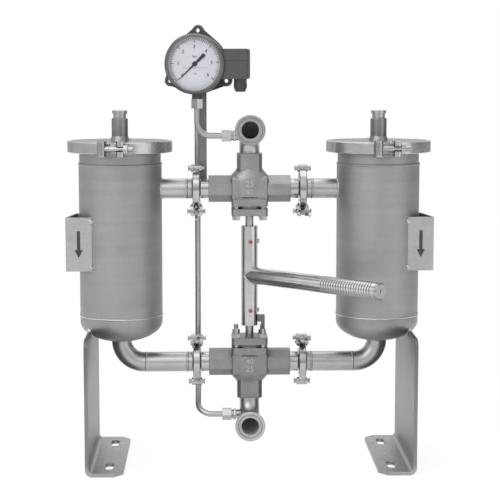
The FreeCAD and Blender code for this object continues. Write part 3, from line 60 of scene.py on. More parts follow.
# Pipes and valves
PIPE_RADIUS = 16.85
VALVE_Z = {"upper": 465.0, "lower": 168.0}
PORT_WAY = {"upper": 1, "lower": -1}                # up or down from the valve
PORT_AXIS = 100.6
PORT_BEND = 38.0
PORT_FACE_Y = -59.0
BORE_REACH = 15.2
PORT_STEP = {                                       # radius, distance ahead of the port's face
    "rim": ((20.4, 0.0), (20.9, 0.7), (23.9, 0.7), (24.7, -0.2), (24.7, -0.8), (20.4, -0.8)),
    "line": ((19.4, -0.3), (19.4, 0.06), (20.5, 0.06), (20.5, -0.3)),
}
NECK_REACH = 20.4
SHOULDER_LOW = -14.0                                # heights above the valve's axis
SHOULDER_START = 14.0
SHOULDER_HIGH = 39.0
SHOULDER_WIDE = 35.0
SHOULDER_DEEP = 27.0
CAST_MARKS = (("25", 14.0, 9.0), ("40", 12.0, -5.0))    # text, size, height above the valve's axis
STUD_REACH = 22.5
STUD_THREAD_Z = 219.6
STUD_THREAD_LENGTH = 8.7
FITTING_WELD_X = -16.6
FITTING_WELD_RADIUS = 8.2
FITTING_THREAD_RADIUS = 8.0
FITTING_THREAD_LENGTH = 3.3
HEXAGON_X = -23.5
HEXAGON_FLATS = 18.0
HEXAGON_LENGTH = 4.2

# Coupling tube and lever
LEVER_Z = 317.0
LEVER_RADIUS = 14.0
LEVER_TURN = math.radians(-45.0)
GRIP_END = 280.0
TIP_TONE = 0.72
TUBE_RADIUS = 16.5
SCREW_HEIGHTS = (257.5, 375.5)
SCREW_ANGLES = (-84.0, 6.0)

# Gauge
GAUGE_CENTRE = Vector((-88.0, 0.0, 674.0))
GAUGE_TURN = math.radians(-11.0)
DIAL_FRONT = 17.0
SCALE_START = 222.0                                 # degrees from the right
SCALE_END = -39.0
SCALE_DIVISIONS = 60
SCALE_EDGE = 43.0
TICKS = ((10, 35.5, 1.3), (5, 37.6, 0.95), (1, 38.8, 0.8))      # every, inner end, width
STOP_TICK = (41.5, 44.2, 0.6)                       # inner end, outer end, width
NUMBERS = 7
NUMBER_RADIUS = 28.5
NUMBER_SIZE = 8.0
DIAL_WORDS = (                                      # name, text, radius, degrees, size
    ("dial_unit", "bar", 12.5, 90.0, 6.0),
    ("dial_class", "1.6", 16.0, 270.0, 4.2),
)
RULE_REACH = 22.0
RULE_HALF = 0.18
RULE_DROP = 6.5
BOX_SEAM_Z = 679.5

# Studio, in metres
WORLD_SIDES = ((1, 0.42), (-1, 1.3))                # way along X, light from there
WORLD_BANDS = ((0.62, 0.12), (-0.76, 0.09))         # place and half width along X
BAND_TONE = 0.4
LAMPS = (                                           # name, place, target, width, height, power
    ("key_light", (-1.3, -1.9, 1.9), (0, 0, 0.4), 2.4, 2.4, 32.0),
    ("fill_light", (1.9, -1.5, 0.9), (0, 0, 0.35), 1.6, 2.0, 10.0),
    ("top_light", (0.0, 0.5, 2.3), (0, 0, 0.4), 2.6, 2.0, 17.0),
)
CAMERA_TARGET = Vector((0.001, 0.0, 0.360))
CAMERA_TURN = math.radians(-1.5)
CAMERA_TILT = math.radians(6.7)
CAMERA_DISTANCE = 2.568
CAMERA_LENS = 108.7
CAMERA_SENSOR = 36.0

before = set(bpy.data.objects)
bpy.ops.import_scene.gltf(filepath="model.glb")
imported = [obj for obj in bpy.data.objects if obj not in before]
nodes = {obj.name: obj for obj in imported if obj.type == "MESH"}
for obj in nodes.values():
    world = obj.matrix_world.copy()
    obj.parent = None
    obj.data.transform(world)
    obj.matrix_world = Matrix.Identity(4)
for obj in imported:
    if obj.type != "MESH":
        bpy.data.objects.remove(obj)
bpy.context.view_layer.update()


def mesh_piece(name, verts, faces, body, material, smooth=True):
    """New mesh in millimetres that rides on a CAD body."""
    mesh = bpy.data.meshes.new(name)
    mesh.from_pydata([tuple(Vector(v) * MM) for v in verts], [], faces)
    mesh.validate()
    mesh.update()
    for face in mesh.polygons:
        face.use_smooth = smooth
    piece = bpy.data.objects.new(name, mesh)
    bpy.context.scene.collection.objects.link(piece)
    piece.data.materials.append(material)
    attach(piece, body)


# Materials

def new_material(name):
    """Material with an empty node tree."""
    material = bpy.data.materials.new(name)
    material.use_nodes = True
    material.node_tree.nodes.clear()
    return material


class Graph:
    """Short-hand for building a node tree."""

    def __init__(self, tree):
        self.tree = tree

    def node(self, kind, **inputs):
        """New node with its inputs by name; a key that starts with set_ sets a property."""
        made = self.tree.nodes.new(kind)
        for key, value in inputs.items():
            if key.startswith("set_"):
                setattr(made, key[4:], value)
            else:
                self.feed(made, key.replace("_", " "), value)
        return made

    def feed(self, node, key, value):
        """Links an output into an input, or sets the input's own value."""
        socket = node.inputs[int(key)] if key.isdigit() else node.inputs[key]
        if isinstance(value, bpy.types.NodeSocket):
            self.tree.links.new(value, socket)
        else:
            socket.default_value = value

    def math(self, operation, first, second=0.0, third=None):
        """Math on numbers."""
        made = self.tree.nodes.new("ShaderNodeMath")
        made.operation = operation
        self.feed(made, "0", first)
        self.feed(made, "1", second)
        if third is not None:
            self.feed(made, "2", third)
        return made.outputs[0]

    def noise(self, vector, scale, detail=3.0, roughness=0.55):
        """Cloudy value between 0 and 1, mostly near the middle."""
        return self.node("ShaderNodeTexNoise", Vector=vector, Scale=scale, Detail=detail,
                         Roughness=roughness).outputs["Fac"]

    def stretched(self, vector, scale):
        """Place scaled along each axis, which draws a noise out where the scale is low."""
        return self.node("ShaderNodeMapping", Vector=vector, Scale=scale).outputs["Vector"]

    def remap(self, value, source, target, smooth=False):
        """Maps the range source onto the range target."""
        made = self.node("ShaderNodeMapRange", Value=value,
                         set_interpolation_type="SMOOTHSTEP" if smooth else "LINEAR")
        for key, number in zip(("From Min", "From Max", "To Min", "To Max"), source + target):
            made.inputs[key].default_value = number
        return made.outputs["Result"]

    def spread(self, value, low, high):
        """Maps the middle of a noise value onto low..high."""
        return self.remap(value, (0.3, 0.7), (low, high))

    def vector(self, operation, first, second=None):
        """Math on vectors; scaling takes its second value as a number."""
        made = self.node("ShaderNodeVectorMath", set_operation=operation)
        self.feed(made, "0", first)
        if second is not None:
            self.feed(made, "Scale" if operation == "SCALE" else "1", second)
        return made.outputs["Value" if operation in ("LENGTH", "DOT_PRODUCT") else "Vector"]

    def axis(self, place, letter):
        """One coordinate of a place or a direction."""
        return self.node("ShaderNodeSeparateXYZ", Vector=place).outputs[letter]

    def blend(self, amount, first, second):
        """Mixes two shaders."""
        mix = self.node("ShaderNodeMixShader", Fac=amount)
        self.feed(mix, "1", first)
        self.feed(mix, "2", second)
        return mix.outputs[0]

    def shader(self, colour, edge, bump_strength, bump_distance, height, **settings):
        """Surface with softened edges and fine grain."""
        bevel = self.node("ShaderNodeBevel", set_samples=4, Radius=edge * MM).outputs["Normal"]
        bump = self.node("ShaderNodeBump", Strength=min(1.0, bump_strength), Distance=bump_distance,
                         Height=height, Normal=bevel).outputs["Normal"]
        made = self.node("ShaderNodeBsdfPrincipled", Normal=bump, **settings)
        self.feed(made, "Base Color", colour)
        self.surface(made.outputs[0])
        return made

    def surface(self, shader, kind="ShaderNodeOutputMaterial"):
        """Ends the tree with a shader."""
        self.feed(self.node(kind), "Surface", shader)


def metal(name, tone, roughness, tint=(1.0, 0.997, 0.988), grain=(1500, 1500, 1500), grain_depth=0.02,
          stain=0.08, stain_scale=(9, 9, 9), patch=0.06, edge=0.35, rings=None, mask=None):
    """Steel with a cloudy tone, stains and fine grain, darker where the mask says.

    With rings given, the grain is turned about an upright line at that X."""
    material = new_material(name)
    g = Graph(material.node_tree)
    place = g.node("ShaderNodeTexCoord").outputs["Object"]
    cloud = g.spread(g.noise(g.stretched(place, stain_scale), 1.0, 5.0, 0.6), 1 - stain, 1 + stain)
    patches = g.spread(g.noise(place, 38.0, 6.0, 0.65), 1 - patch, 1 + patch)
    if rings:
        flat = g.vector("MULTIPLY", g.vector("SUBTRACT", place, (rings * MM, 0.0, 0.0)), (1.0, 1.0, 0.0))
        fine = g.node("ShaderNodeTexNoise", set_noise_dimensions="1D", W=g.vector("LENGTH", flat),
                      Scale=2600.0, Detail=2.0).outputs["Fac"]
    else:
        fine = g.noise(g.stretched(place, grain), 1.0, 2.0, 0.5)
    shade = g.math("MULTIPLY", cloud, patches)
    shade = g.math("MULTIPLY", shade, g.spread(fine, 1 - grain_depth * 3, 1 + grain_depth * 3))
    if mask:
        shade = g.math("MULTIPLY", shade, mask(g, place))
    colour = g.vector("SCALE", tuple(tone * c for c in tint), shade)
    rough = g.math("ADD", roughness, g.math("MULTIPLY", g.math("SUBTRACT", patches, 1.0), 0.4))
    g.shader(colour, edge, grain_depth * 12, 0.0003, fine, Metallic=1.0, Roughness=rough)
    return material


def groove_mask(g, place):
    """Painted shade: darkens the bottoms of the grip's grooves and the underside, which faces the floor,
    and holds the tip at a darker tone.
    """
    way = (math.cos(LEVER_TURN), math.sin(LEVER_TURN), 0.0)
    local = g.vector("SUBTRACT", place, (0.0, 0.0, LEVER_Z * MM))
    reach = g.vector("LENGTH", g.vector("CROSS_PRODUCT", local, way))
    depth = g.remap(reach, ((LEVER_RADIUS - 1.1) * MM, (LEVER_RADIUS - 0.15) * MM), (0.22, 1.0))
    body = g.math("LESS_THAN", g.vector("DOT_PRODUCT", local, way), GRIP_END * MM)
    tip = g.math("MULTIPLY", g.math("SUBTRACT", 1.0, body), TIP_TONE)
    shade = g.math("ADD", g.math("MULTIPLY", depth, body), tip)
    facing = g.axis(g.node("ShaderNodeNewGeometry").outputs["Normal"], "Z")
    return g.math("MULTIPLY", shade, g.remap(facing, (-0.9, 0.1), (0.45, 1.0)))


def leg_mask(g, place):
    """Painted shadow of the dish, darkening the legs towards their tops, and lighter feet."""
    height = g.axis(place, "Z")
    upright = g.remap(height, (0.13, 0.22), (1.0, 0.66))
    foot = g.remap(height, (0.006, 0.02), (1.65, 1.0))
    return g.math("MULTIPLY", upright, foot)


def cast_mask(g, place):
    """Darkens the lower casting, which stands in less light than the upper one."""
    return g.remap(g.axis(place, "Z"), (0.28, 0.34), (0.84, 1.02))


def port_steel():
    """Satin steel outside, and the duller pickled bore that light from the front reaches."""
    material = metal("port_steel", 0.37, 0.33, grain=(900, 900, 900), grain_depth=0.03, stain=0.08)
    g = Graph(material.node_tree)
    shader = next(n for n in material.node_tree.nodes if n.type == "BSDF_PRINCIPLED")
    axes = g.node("ShaderNodeSeparateXYZ", Vector=g.node("ShaderNodeTexCoord").outputs["Object"])
    middle = (VALVE_Z["upper"] + VALVE_Z["lower"]) / 2
    span = (VALVE_Z["upper"] - VALVE_Z["lower"]) / 2 + PORT_AXIS
    above = g.math("ABSOLUTE", g.math("SUBTRACT", axes.outputs["Z"], middle * MM))
    off = g.math("SUBTRACT", above, span * MM)
    squares = g.math("ADD", g.math("POWER", axes.outputs["X"], 2.0), g.math("POWER", off, 2.0))
    bore = g.math("LESS_THAN", g.math("SQRT", squares), BORE_REACH * MM)
    g.feed(shader, "Metallic", g.math("SUBTRACT", 1.0, bore))
    return material


def coated(name, colour, roughness, grain=900.0, grain_depth=0.05, mottle=0.08, edge=0.4, coat=0.0,
           seam=None):
    """Paint, moulded plastic or rubber, with a dark parting line at the height of the seam."""
    material = new_material(name)
    g = Graph(material.node_tree)
    place = g.node("ShaderNodeTexCoord").outputs["Object"]
    cloud = g.spread(g.noise(place, 30.0, 5.0), 1 - mottle, 1 + mottle)
    fine = g.noise(place, grain, 2.0)
    if seam:
        groove = g.math("COMPARE", g.axis(place, "Z"), seam * MM, 0.0004)
        cloud = g.math("MULTIPLY", cloud, g.math("SUBTRACT", 1.0, g.math("MULTIPLY", groove, 0.75)))
    shader = g.shader(g.vector("SCALE", colour, cloud), edge, grain_depth * 8, 0.0002, fine,
                      Roughness=roughness)
    g.feed(shader, "Coat Weight", coat)
    return material


def clear_glass():
    """Thin glass that shows the dial and mirrors a little."""
    material = new_material("gauge_glass_clear")
    g = Graph(material.node_tree)
    fresnel = g.node("ShaderNodeFresnel", IOR=1.45).outputs[0]
    mirror = g.node("ShaderNodeBsdfGlossy", Roughness=0.02).outputs[0]
    through = g.node("ShaderNodeBsdfTransparent", Color=(0.98, 0.98, 0.985, 1)).outputs[0]
    g.surface(g.blend(g.math("MULTIPLY", fresnel, 0.6), through, mirror))
    return material


MATERIALS = {
    "blasted": metal("blasted_steel", 0.295, 0.52, grain=(1700, 1700, 1700), grain_depth=0.05,
                     stain=0.07, stain_scale=(5, 5, 60), patch=0.05),
    "satin": metal("satin_steel", 0.37, 0.33, grain=(900, 900, 900), grain_depth=0.03, stain=0.08),
    "bar": metal("turned_bar", 0.43, 0.24, grain=(700, 700, 700), grain_depth=0.02, stain=0.08),
    # The lever's steel carries painted shade in its grip's grooves and on its underside.
    "lever": metal("lever_steel", 0.54, 0.22, grain=(700, 700, 700), grain_depth=0.02, stain=0.08,
                   mask=groove_mask),
    "port": port_steel(),
    # The legs' plate steel carries painted shadow of the dish towards their tops.
    "plate": metal("plate_steel", 0.215, 0.46, grain=(160, 160, 2600), grain_depth=0.04, stain=0.07,
                   edge=0.8, mask=leg_mask),
    "bracket": metal("bracket_steel", 0.37, 0.40, grain=(160, 160, 2600), grain_depth=0.04, stain=0.07,
                     edge=0.6),
    "post": metal("post_steel", 0.18, 0.40, grain=(300, 300, 900), grain_depth=0.04, stain=0.08,
                  edge=0.5),
    "polished": metal("polished_steel", 0.40, 0.20, grain=(400, 400, 400), grain_depth=0.01,
                      stain=0.05, edge=0.5),
    "ring": metal("clamp_ring_steel", 0.44, 0.24, tint=(1.0, 0.99, 0.97), grain=(300, 300, 2600),
                  grain_depth=0.02, stain=0.06, edge=0.6),
    "cast": metal("cast_steel", 0.27, 0.44, tint=(1.0, 0.985, 0.955), grain=(900, 900, 900),
                  grain_depth=0.045, stain=0.12, stain_scale=(20, 20, 20), patch=0.10, edge=2.0,
                  mask=cast_mask),
    "mark": metal("cast_mark_steel", 0.42, 0.42, grain=(900, 900, 900), grain_depth=0.04, stain=0.12,
                  edge=0.8),
    "fastener": metal("fastener_steel", 0.34, 0.25, grain=(800, 800, 800), grain_depth=0.02,
                      stain=0.10, stain_scale=(60, 60, 60), edge=0.4),
    "weld": metal("weld_steel", 0.44, 0.34, tint=(1.0, 0.97, 0.92), grain=(900, 900, 900),
                  grain_depth=0.06, stain=0.22, stain_scale=(70, 70, 70), patch=0.15),
    "seal_white": coated("seal_white", (0.78, 0.78, 0.75), 0.5),
    "seal_black": coated("seal_black", (0.022, 0.022, 0.022), 0.6),
    "bezel": metal("bezel_steel", 0.13, 0.34, grain=(900, 900, 900), grain_depth=0.02, stain=0.10,
                   edge=0.5),
    "case": coated("gauge_black", (0.020, 0.021, 0.023), 0.38, coat=0.2),
    "box": coated("box_plastic", (0.045, 0.046, 0.050), 0.48, grain=1600.0, grain_depth=0.09,
                  seam=BOX_SEAM_Z, edge=0.9),
    "gland": coated("gland_plastic", (0.026, 0.025, 0.025), 0.42, grain=1400.0, edge=0.7),
    "dial": coated("dial_white", (0.70, 0.71, 0.75), 0.45, grain_depth=0.01, mottle=0.02),
    "pointer": coated("pointer_black", (0.010, 0.013, 0.045), 0.35, grain_depth=0.01),
    # Black for the dial's print, and for the painted shade of the set screws' sockets.
    "ink_and_shade": coated("dial_ink_and_shade", (0.015, 0.016, 0.022), 0.5, grain_depth=0.01, mottle=0.02),
    "arrow": coated("arrow_paint", (0.030, 0.030, 0.032), 0.7, mottle=0.15),
    "seam": metal("seam_steel", 0.62, 0.34, grain=(900, 900, 900), stain=0.20, stain_scale=(40, 40, 40)),
    "lacquer": coated("red_lacquer", (0.45, 0.012, 0.015), 0.3, coat=0.5),
    "glass": clear_glass(),
}
for side, way in SIDES.items():
    MATERIALS[side + "_lid"] = metal(side + "_lid_turned", 0.24, 0.36, grain_depth=0.03, stain=0.05,
                                     rings=way * VESSEL_X, edge=0.5)

LOOKS = {
    "blasted": ["left_vessel", "right_vessel"],
    "satin": ["left_piping", "right_piping", "left_filter_element", "right_filter_element",
              "left_vent_screw", "right_vent_screw",
              "upper_measuring_line", "lower_measuring_line", "valve_plugs"],
    "bar": ["coupling_tube"],
    "lever": ["lever_bar"],
    "port": ["upper_port_elbow", "lower_port_elbow"],
    "plate": ["left_leg", "right_leg", "stop_bracket"],
    "bracket": ["left_arrow_bracket", "right_arrow_bracket"],
    "post": ["gauge_support"],
    "ring": [side + "_lid_clamp_" + half + "_half" for side in SIDES for half in ("fixed", "moving")],
    "polished": ["clamp_adapters", "pipe_clamp_halves", "tube_fittings"],
    "cast": ["upper_valve_body", "lower_valve_body", "upper_valve_bonnet", "lower_valve_bonnet"],
    "fastener": ["bonnet_bolts", "pipe_clamp_pins", "lid_clamp_pins", "set_screws",
                 "left_lid_clamp_bolt", "left_lid_clamp_nut", "right_lid_clamp_bolt",
                 "right_lid_clamp_nut"] + [level + "_" + side + part for level in VALVE_Z
                                           for side in SIDES for part in ("_clamp_bolt", "_wing_nut")],
    "seal_white": ["valve_seals"],
    "seal_black": ["pipe_clamp_gaskets", "lid_gaskets"],
    "bezel": ["gauge_bezel"],
    "case": ["gauge_case"],
    "box": ["gauge_switch_box"],
    "gland": ["cable_gland"],
    "dial": ["gauge_dial"],
    "pointer": ["gauge_pointer"],
    "glass": ["gauge_glass"],
    "left_lid": ["left_lid"],
    "right_lid": ["right_lid"],
}
for look, names in LOOKS.items():
    for name in names:
        nodes[name].data.materials.clear()
        nodes[name].data.materials.append(MATERIALS[look])


def crisp_edges(node, limit):
    """Shades a CAD mesh smooth only across edges flatter than the limit, so that grooves show."""
    mesh = node.data
    around = {}
    for face in mesh.polygons:
        for index in face.vertices:
            key = tuple(round(c * 1e5) for c in mesh.vertices[index].co)
            around.setdefault(key, []).append((face.normal.copy(), face.area))
    flattest = math.cos(limit)
    normals = []
    for face in mesh.polygons:
        for index in face.vertices:
            key = tuple(round(c * 1e5) for c in mesh.vertices[index].co)
            near = [n * area for n, area in around[key] if n.dot(face.normal) > flattest]
            normals.append(sum(near, Vector()).normalized())
    mesh.normals_split_custom_set(normals)


crisp_edges(nodes["lever_bar"], math.radians(25))


# Extra pieces

def tube_along(path, radius, sides=8, ripple=0.0, ripples=0):
    """Vertices and faces of a bead along a path of points, closed when its ends meet."""
    closed = (Vector(path[0]) - Vector(path[-1])).length < 1e-6
    points = [Vector(p) for p in (path[:-1] if closed else path)]
    count = len(points)
    verts = []
    faces = []
    last = None
    for i, point in enumerate(points):
        ahead = points[(i + 1) % count] if closed or i < count - 1 else point
        behind = points[i - 1] if closed or i > 0 else point
        way = (ahead - behind).normalized()
        side = way.cross(Vector((0, 0, 1)) if abs(way.z) < 0.9 else Vector((1, 0, 0)))
        if last is not None:
            side = last - way * last.dot(way)
        side.normalize()
        last = side
        up = way.cross(side)
        swell = 1 + ripple * math.sin(2 * math.pi * ripples * i / count)
        if not closed:
            swell *= min(1.0, 0.35 + 0.65 * min(i, count - 1 - i) / 3)
        for k in range(sides):
            angle = 2 * math.pi * k / sides
            verts.append(point + (side * math.cos(angle) + up * math.sin(angle)) * radius * swell)
    for i in range(count if closed else count - 1):
        for k in range(sides):
            a = i * sides + k
            b = i * sides + (k + 1) % sides
            c = ((i + 1) % count) * sides + (k + 1) % sides
            d = ((i + 1) % count) * sides + k
            faces.append((a, b, c, d))
    if not closed:
        faces.append(tuple(range(sides))[::-1])
        faces.append(tuple(range((count - 1) * sides, count * sides)))
    return verts, faces


def strips(rings, sides):
    """Quads between rings of equally many vertices that lie one after another."""
    return [(ring * sides + k, ring * sides + (k + 1) % sides,
             (ring + 1) * sides + (k + 1) % sides, (ring + 1) * sides + k)
            for ring in range(rings - 1) for k in range(sides)]


def caps(rings, sides):
    """First and last ring as closing faces."""
    return [tuple(range(sides))[::-1], tuple(range((rings - 1) * sides, rings * sides))]


def upright_onto(axis):
    """Turn that lays the upright direction along an axis."""
    return Vector((0, 0, 1)).rotation_difference(Vector(axis).normalized())


def circle(centre, axis, radius, steps=96):
    """Closed ring of points about an axis."""
    turn = upright_onto(axis)
    points = []
    for i in range(steps + 1):
        angle = 2 * math.pi * (i % steps) / steps
        points.append(Vector(centre) + turn @ Vector((radius * math.cos(angle),
                                                      radius * math.sin(angle), 0)))
    return points


def bead(name, path, radius, body="root", ripple=0.12, pitch=1.6):
    """Rippled weld bead along a path."""
    run = sum((Vector(a) - Vector(b)).length for a, b in zip(path, path[1:]))
    verts, faces = tube_along(path, radius, 8, ripple, max(4, round(run / pitch / 2)))
    mesh_piece(name, verts, faces, body, MATERIALS["weld"])


def wall_reach(across):
    """Distance of the vessel's wall from its axis, at a distance to the front or the rear."""
    return math.sqrt(VESSEL_RADIUS ** 2 - across ** 2)


def dish_height(reach_squared):
    """Height of the dished bottom at a squared distance from the vessel's axis."""
    return DISH_START_Z - DISH_DEPTH * math.sqrt(1 - reach_squared / VESSEL_RADIUS ** 2)


def vessel_welds(side, way):
    """Beads at the nozzle, the bottom outlet, the leg and the bracket, and the vessel's two seams."""
    centre = way * VESSEL_X
    saddle = []
    for i in range(121):
        angle = 2 * math.pi * (i % 120) / 120
        y = PIPE_RADIUS * math.cos(angle)
        z = VALVE_Z["upper"] + PIPE_RADIUS * math.sin(angle)
        saddle.append((way * (VESSEL_X - wall_reach(y)), y, z))
    bead(side + "_nozzle_weld", saddle, 1.7)
    for tag, height, reach in (("lower", LOWER_SEAM_Z, VESSEL_RADIUS), ("neck", NECK_Z, NECK_RADIUS)):
        verts, faces = tube_along(circle((centre, 0, height), (0, 0, 1), reach + 0.35, 144), 0.8, 6)
        mesh_piece(side + "_" + tag + "_seam", verts, faces, "root", MATERIALS["seam"])
    outlet = (centre, 0, dish_height(PIPE_RADIUS ** 2))
    bead(side + "_outlet_weld", circle(outlet, (0, 0, 1), PIPE_RADIUS), 1.7)
    for tag, offset in LEG_FACES:
        reach = math.sqrt(VESSEL_RADIUS ** 2 * (1 - (LEG_TOP_DROP / DISH_DEPTH) ** 2) - offset ** 2)
        path = []
        for i in range(61):
            y = reach * (2 * i / 60 - 1)
            path.append((centre + way * offset, y, dish_height(offset ** 2 + y ** 2)))
        bead(side + "_leg_" + tag + "_weld", path, 1.8, pitch=2.2)
    front_x = centre + way * (wall_reach(BRACKET_FRONT_Y + 0.5) + 1.0)
    for tag, high in FRONT_TACKS:
        disc_on(side + "_bracket_tack_" + tag, (front_x, BRACKET_FRONT_Y + 0.2, high), (0, -1, 0),
                4.4, 2.4, MATERIALS["weld"], "root", wobble=0.12)
    out, across, high = LEG_WELD_END
    disc_on(side + "_leg_weld_end", (centre + way * out, across, high), (way * 0.3, -1, 0.3), 4.6, 3.0,
            MATERIALS["weld"], "root", wobble=0.14)
    back_x = centre + way * wall_reach(BRACKET_BACK_Y)
    for tag, high in BACK_TACKS:
        path = [(back_x, BRACKET_BACK_Y + 0.7, high - 9 + i) for i in range(19)]
        bead(side + "_bracket_back_tack_" + tag, path, 1.8, ripple=0.2)


def lever_weld():
    """Bead along the saddle where the lever meets the coupling tube."""
    along = Vector((math.cos(LEVER_TURN), math.sin(LEVER_TURN), 0))
    across = Vector((-along.y, along.x, 0))
    path = []
    for i in range(121):
        angle = 2 * math.pi * (i % 120) / 120
        path.append(along * LEVER_RADIUS * abs(math.sin(angle)) * 1.01
                    + across * LEVER_RADIUS * math.cos(angle)
                    + Vector((0, 0, LEVER_Z + LEVER_RADIUS * math.sin(angle))))
    bead("lever_weld", path, 1.6, body="lever")


def thread(name, start, axis, length, radius, body, pitch=1.25, depth=0.35):
    """Helical ridge round a rod."""
    turn = upright_onto(axis)
    around = 20
    steps = int(length / pitch * 4)
    verts = []
    for i in range(steps + 1):
        for k in range(around):
            lead = (i / 4 - k / around) % 1.0
            swell = radius + 0.02 + depth * (1 - abs(2 * lead - 1))
            angle = 2 * math.pi * k / around
            verts.append(Vector(start) + turn @ Vector((swell * math.cos(angle), swell * math.sin(angle),
                                                        i * length / steps)))
    faces = strips(steps + 1, around) + caps(steps + 1, around)
    mesh_piece(name, verts, faces, body, MATERIALS["fastener"])


def ridged_ring(name, centre, radius, low, high, ridges, body, depth=0.4):
    """Knurled band round an upright head."""
    count = ridges * 4
    verts = []
    for z in (low, high):
        for i in range(count):
            swell = radius + depth * (0.15, 1.0, 1.0, 0.15)[i % 4]
            angle = 2 * math.pi * i / count
            verts.append((centre[0] + swell * math.cos(angle), centre[1] + swell * math.sin(angle), z))
    faces = strips(2, count) + caps(2, count)
    mesh_piece(name, verts, faces, body, MATERIALS["satin"], smooth=False)


def closure_details():
    """Thread of each closure bolt, and the knurl round each vent screw's head."""
    for side, way in SIDES.items():
        turn = Matrix.Rotation(math.radians(CLOSURE_TURN[side]), 3, "Z")
        centre = Vector((way * VESSEL_X, 0, 0))
        start = centre + turn @ Vector((CLOSURE_THREAD_X, CLOSURE_Y, PARTING_Z))
        thread(side + "_closure_inner_thread", start, turn @ Vector((1, 0, 0)), CLOSURE_THREAD_LENGTH,
               THREAD_RADIUS, side + "_closure_bolt")
        ridged_ring(side + "_vent_knurl", centre, VENT_RADIUS, VENT_TOP_Z + KNURL_LOW,
                    VENT_TOP_Z + KNURL_HIGH, KNURL_RIDGES, side + "_vent", depth=0.12)


def stud_threads():
    """Threads of the lower valve's studs above its nuts."""
    for i, x in enumerate((-STUD_REACH, STUD_REACH)):
        for k, y in enumerate((-STUD_REACH, STUD_REACH)):
            thread("stud_thread_%d_%d" % (i, k), (x, y, STUD_THREAD_Z), (0, 0, 1), STUD_THREAD_LENGTH,
                   THREAD_RADIUS, "root")


def disc_on(name, centre, outward, radius, thickness, material, body, sides=24, wobble=0.0):
    """Flat disc or blob that lies on a surface."""
    turn = upright_onto(outward)
    verts = []
    for level, scale in ((0.0, 1.0), (thickness * 0.7, 0.92), (thickness, 0.6)):
        for k in range(sides):
            angle = 2 * math.pi * k / sides
            reach = radius * scale * (1 + wobble * math.sin(3 * angle + 1) + wobble * math.sin(5 * angle))
            verts.append(Vector(centre) + turn @ Vector((reach * math.cos(angle),
                                                         reach * math.sin(angle), level)))
    mesh_piece(name, verts, strips(3, sides) + caps(3, sides), body, material)


def set_screw_marks():
    """Painted shade of the socket in each set screw, a dark hexagon on its face, and the red lacquer that
    seals the screws at the front.
    """
    for i, height in enumerate(SCREW_HEIGHTS):
        for k, angle in enumerate(SCREW_ANGLES):
            way = Vector((math.cos(math.radians(angle)), math.sin(math.radians(angle)), 0))
            face = way * TUBE_RADIUS + Vector((0, 0, height))
            disc_on("screw_socket_shade_%d_%d" % (i, k), face, way, 1.5, 0.35, MATERIALS["ink_and_shade"], "lever",
                    sides=6)
            if k == 0:
                disc_on("screw_seal_%d" % i, face, way, 3.1, 0.3, MATERIALS["lacquer"], "lever",
                        wobble=0.08)


def flat_outline(name, corners, depth, place, body, material):
    """Thin plate from an (x, z) outline, facing the viewer."""
    count = len(corners)
    verts = [place(x, 0.0, z) for x, z in corners] + [place(x, -depth, z) for x, z in corners]
    faces = [tuple(range(count)), tuple(range(count, 2 * count))[::-1]]
    faces += [(i, count + i, count + (i + 1) % count, (i + 1) % count) for i in range(count)]
    mesh_piece(name, verts, faces, body, material, smooth=False)


def flow_arrows():
    """Arrow painted on the front of each bracket."""
    for side, way in SIDES.items():
        def place(x, y, z, way=way):
            return (way * ARROW_X + x, BRACKET_FRONT_Y + y, ARROW_Z + z)
        flat_outline(side + "_flow_arrow", ARROW_CORNERS, 0.15, place, "root", MATERIALS["arrow"])


def on_dial(x, y, z):
    """Place on the gauge, turned with it, from its centre."""
    return GAUGE_CENTRE + Matrix.Rotation(GAUGE_TURN, 3, "Z") @ Vector((x, y, z))


def gauge_point(radius, degrees, front):
    """Point on the dial, with its angle from the right and its distance ahead of the gauge's centre."""
    angle = math.radians(degrees)
    return on_dial(radius * math.cos(angle), -front, radius * math.sin(angle))


def dial_marks():
    """Scale, numbers, unit, class and a fine rule across the dial."""
    verts = []
    faces = []

    def bar(inner, outer, degrees, width):
        out = Vector((math.cos(math.radians(degrees)), 0, math.sin(math.radians(degrees))))
        across = Vector((-out.z, 0, out.x)) * (width / 2)
        base = len(verts)
        for depth in (DIAL_FRONT + 0.02, DIAL_FRONT + 0.12):
            for reach, way in ((inner, -1), (outer, -1), (outer, 1), (inner, 1)):
                verts.append(on_dial(*(out * reach + across * way + Vector((0, -depth, 0)))))
        faces.extend([(base, base + 1, base + 2, base + 3), (base + 7, base + 6, base + 5, base + 4),
                      (base, base + 4, base + 5, base + 1), (base + 1, base + 5, base + 6, base + 2),
                      (base + 2, base + 6, base + 7, base + 3), (base + 3, base + 7, base + 4, base)])

    for i in range(SCALE_DIVISIONS + 1):
        degrees = SCALE_START + (SCALE_END - SCALE_START) * i / SCALE_DIVISIONS
        inner, width = next((inner, width) for every, inner, width in TICKS if i % every == 0)
        bar(inner, SCALE_EDGE, degrees, width)
    bar(STOP_TICK[0], STOP_TICK[1], SCALE_END, STOP_TICK[2])
    mesh_piece("dial_scale", verts, faces, "root", MATERIALS["ink_and_shade"], smooth=False)
    for i in range(NUMBERS):
        degrees = SCALE_START + (SCALE_END - SCALE_START) * i / (NUMBERS - 1)
        dial_text("dial_number_%d" % i, str(i), gauge_point(NUMBER_RADIUS, degrees, DIAL_FRONT + 0.05),
                  NUMBER_SIZE)
    for name, text, radius, degrees, size in DIAL_WORDS:
        dial_text(name, text, gauge_point(radius, degrees, DIAL_FRONT + 0.05), size)
    rule = [(-RULE_REACH, RULE_HALF), (RULE_REACH, RULE_HALF), (RULE_REACH, -RULE_HALF),
            (-RULE_REACH, -RULE_HALF)]

    def place(x, y, z):
        return on_dial(x, -DIAL_FRONT - 0.02 + y, z - RULE_DROP)
    flat_outline("dial_rule", rule, 0.08, place, "root", MATERIALS["ink_and_shade"])


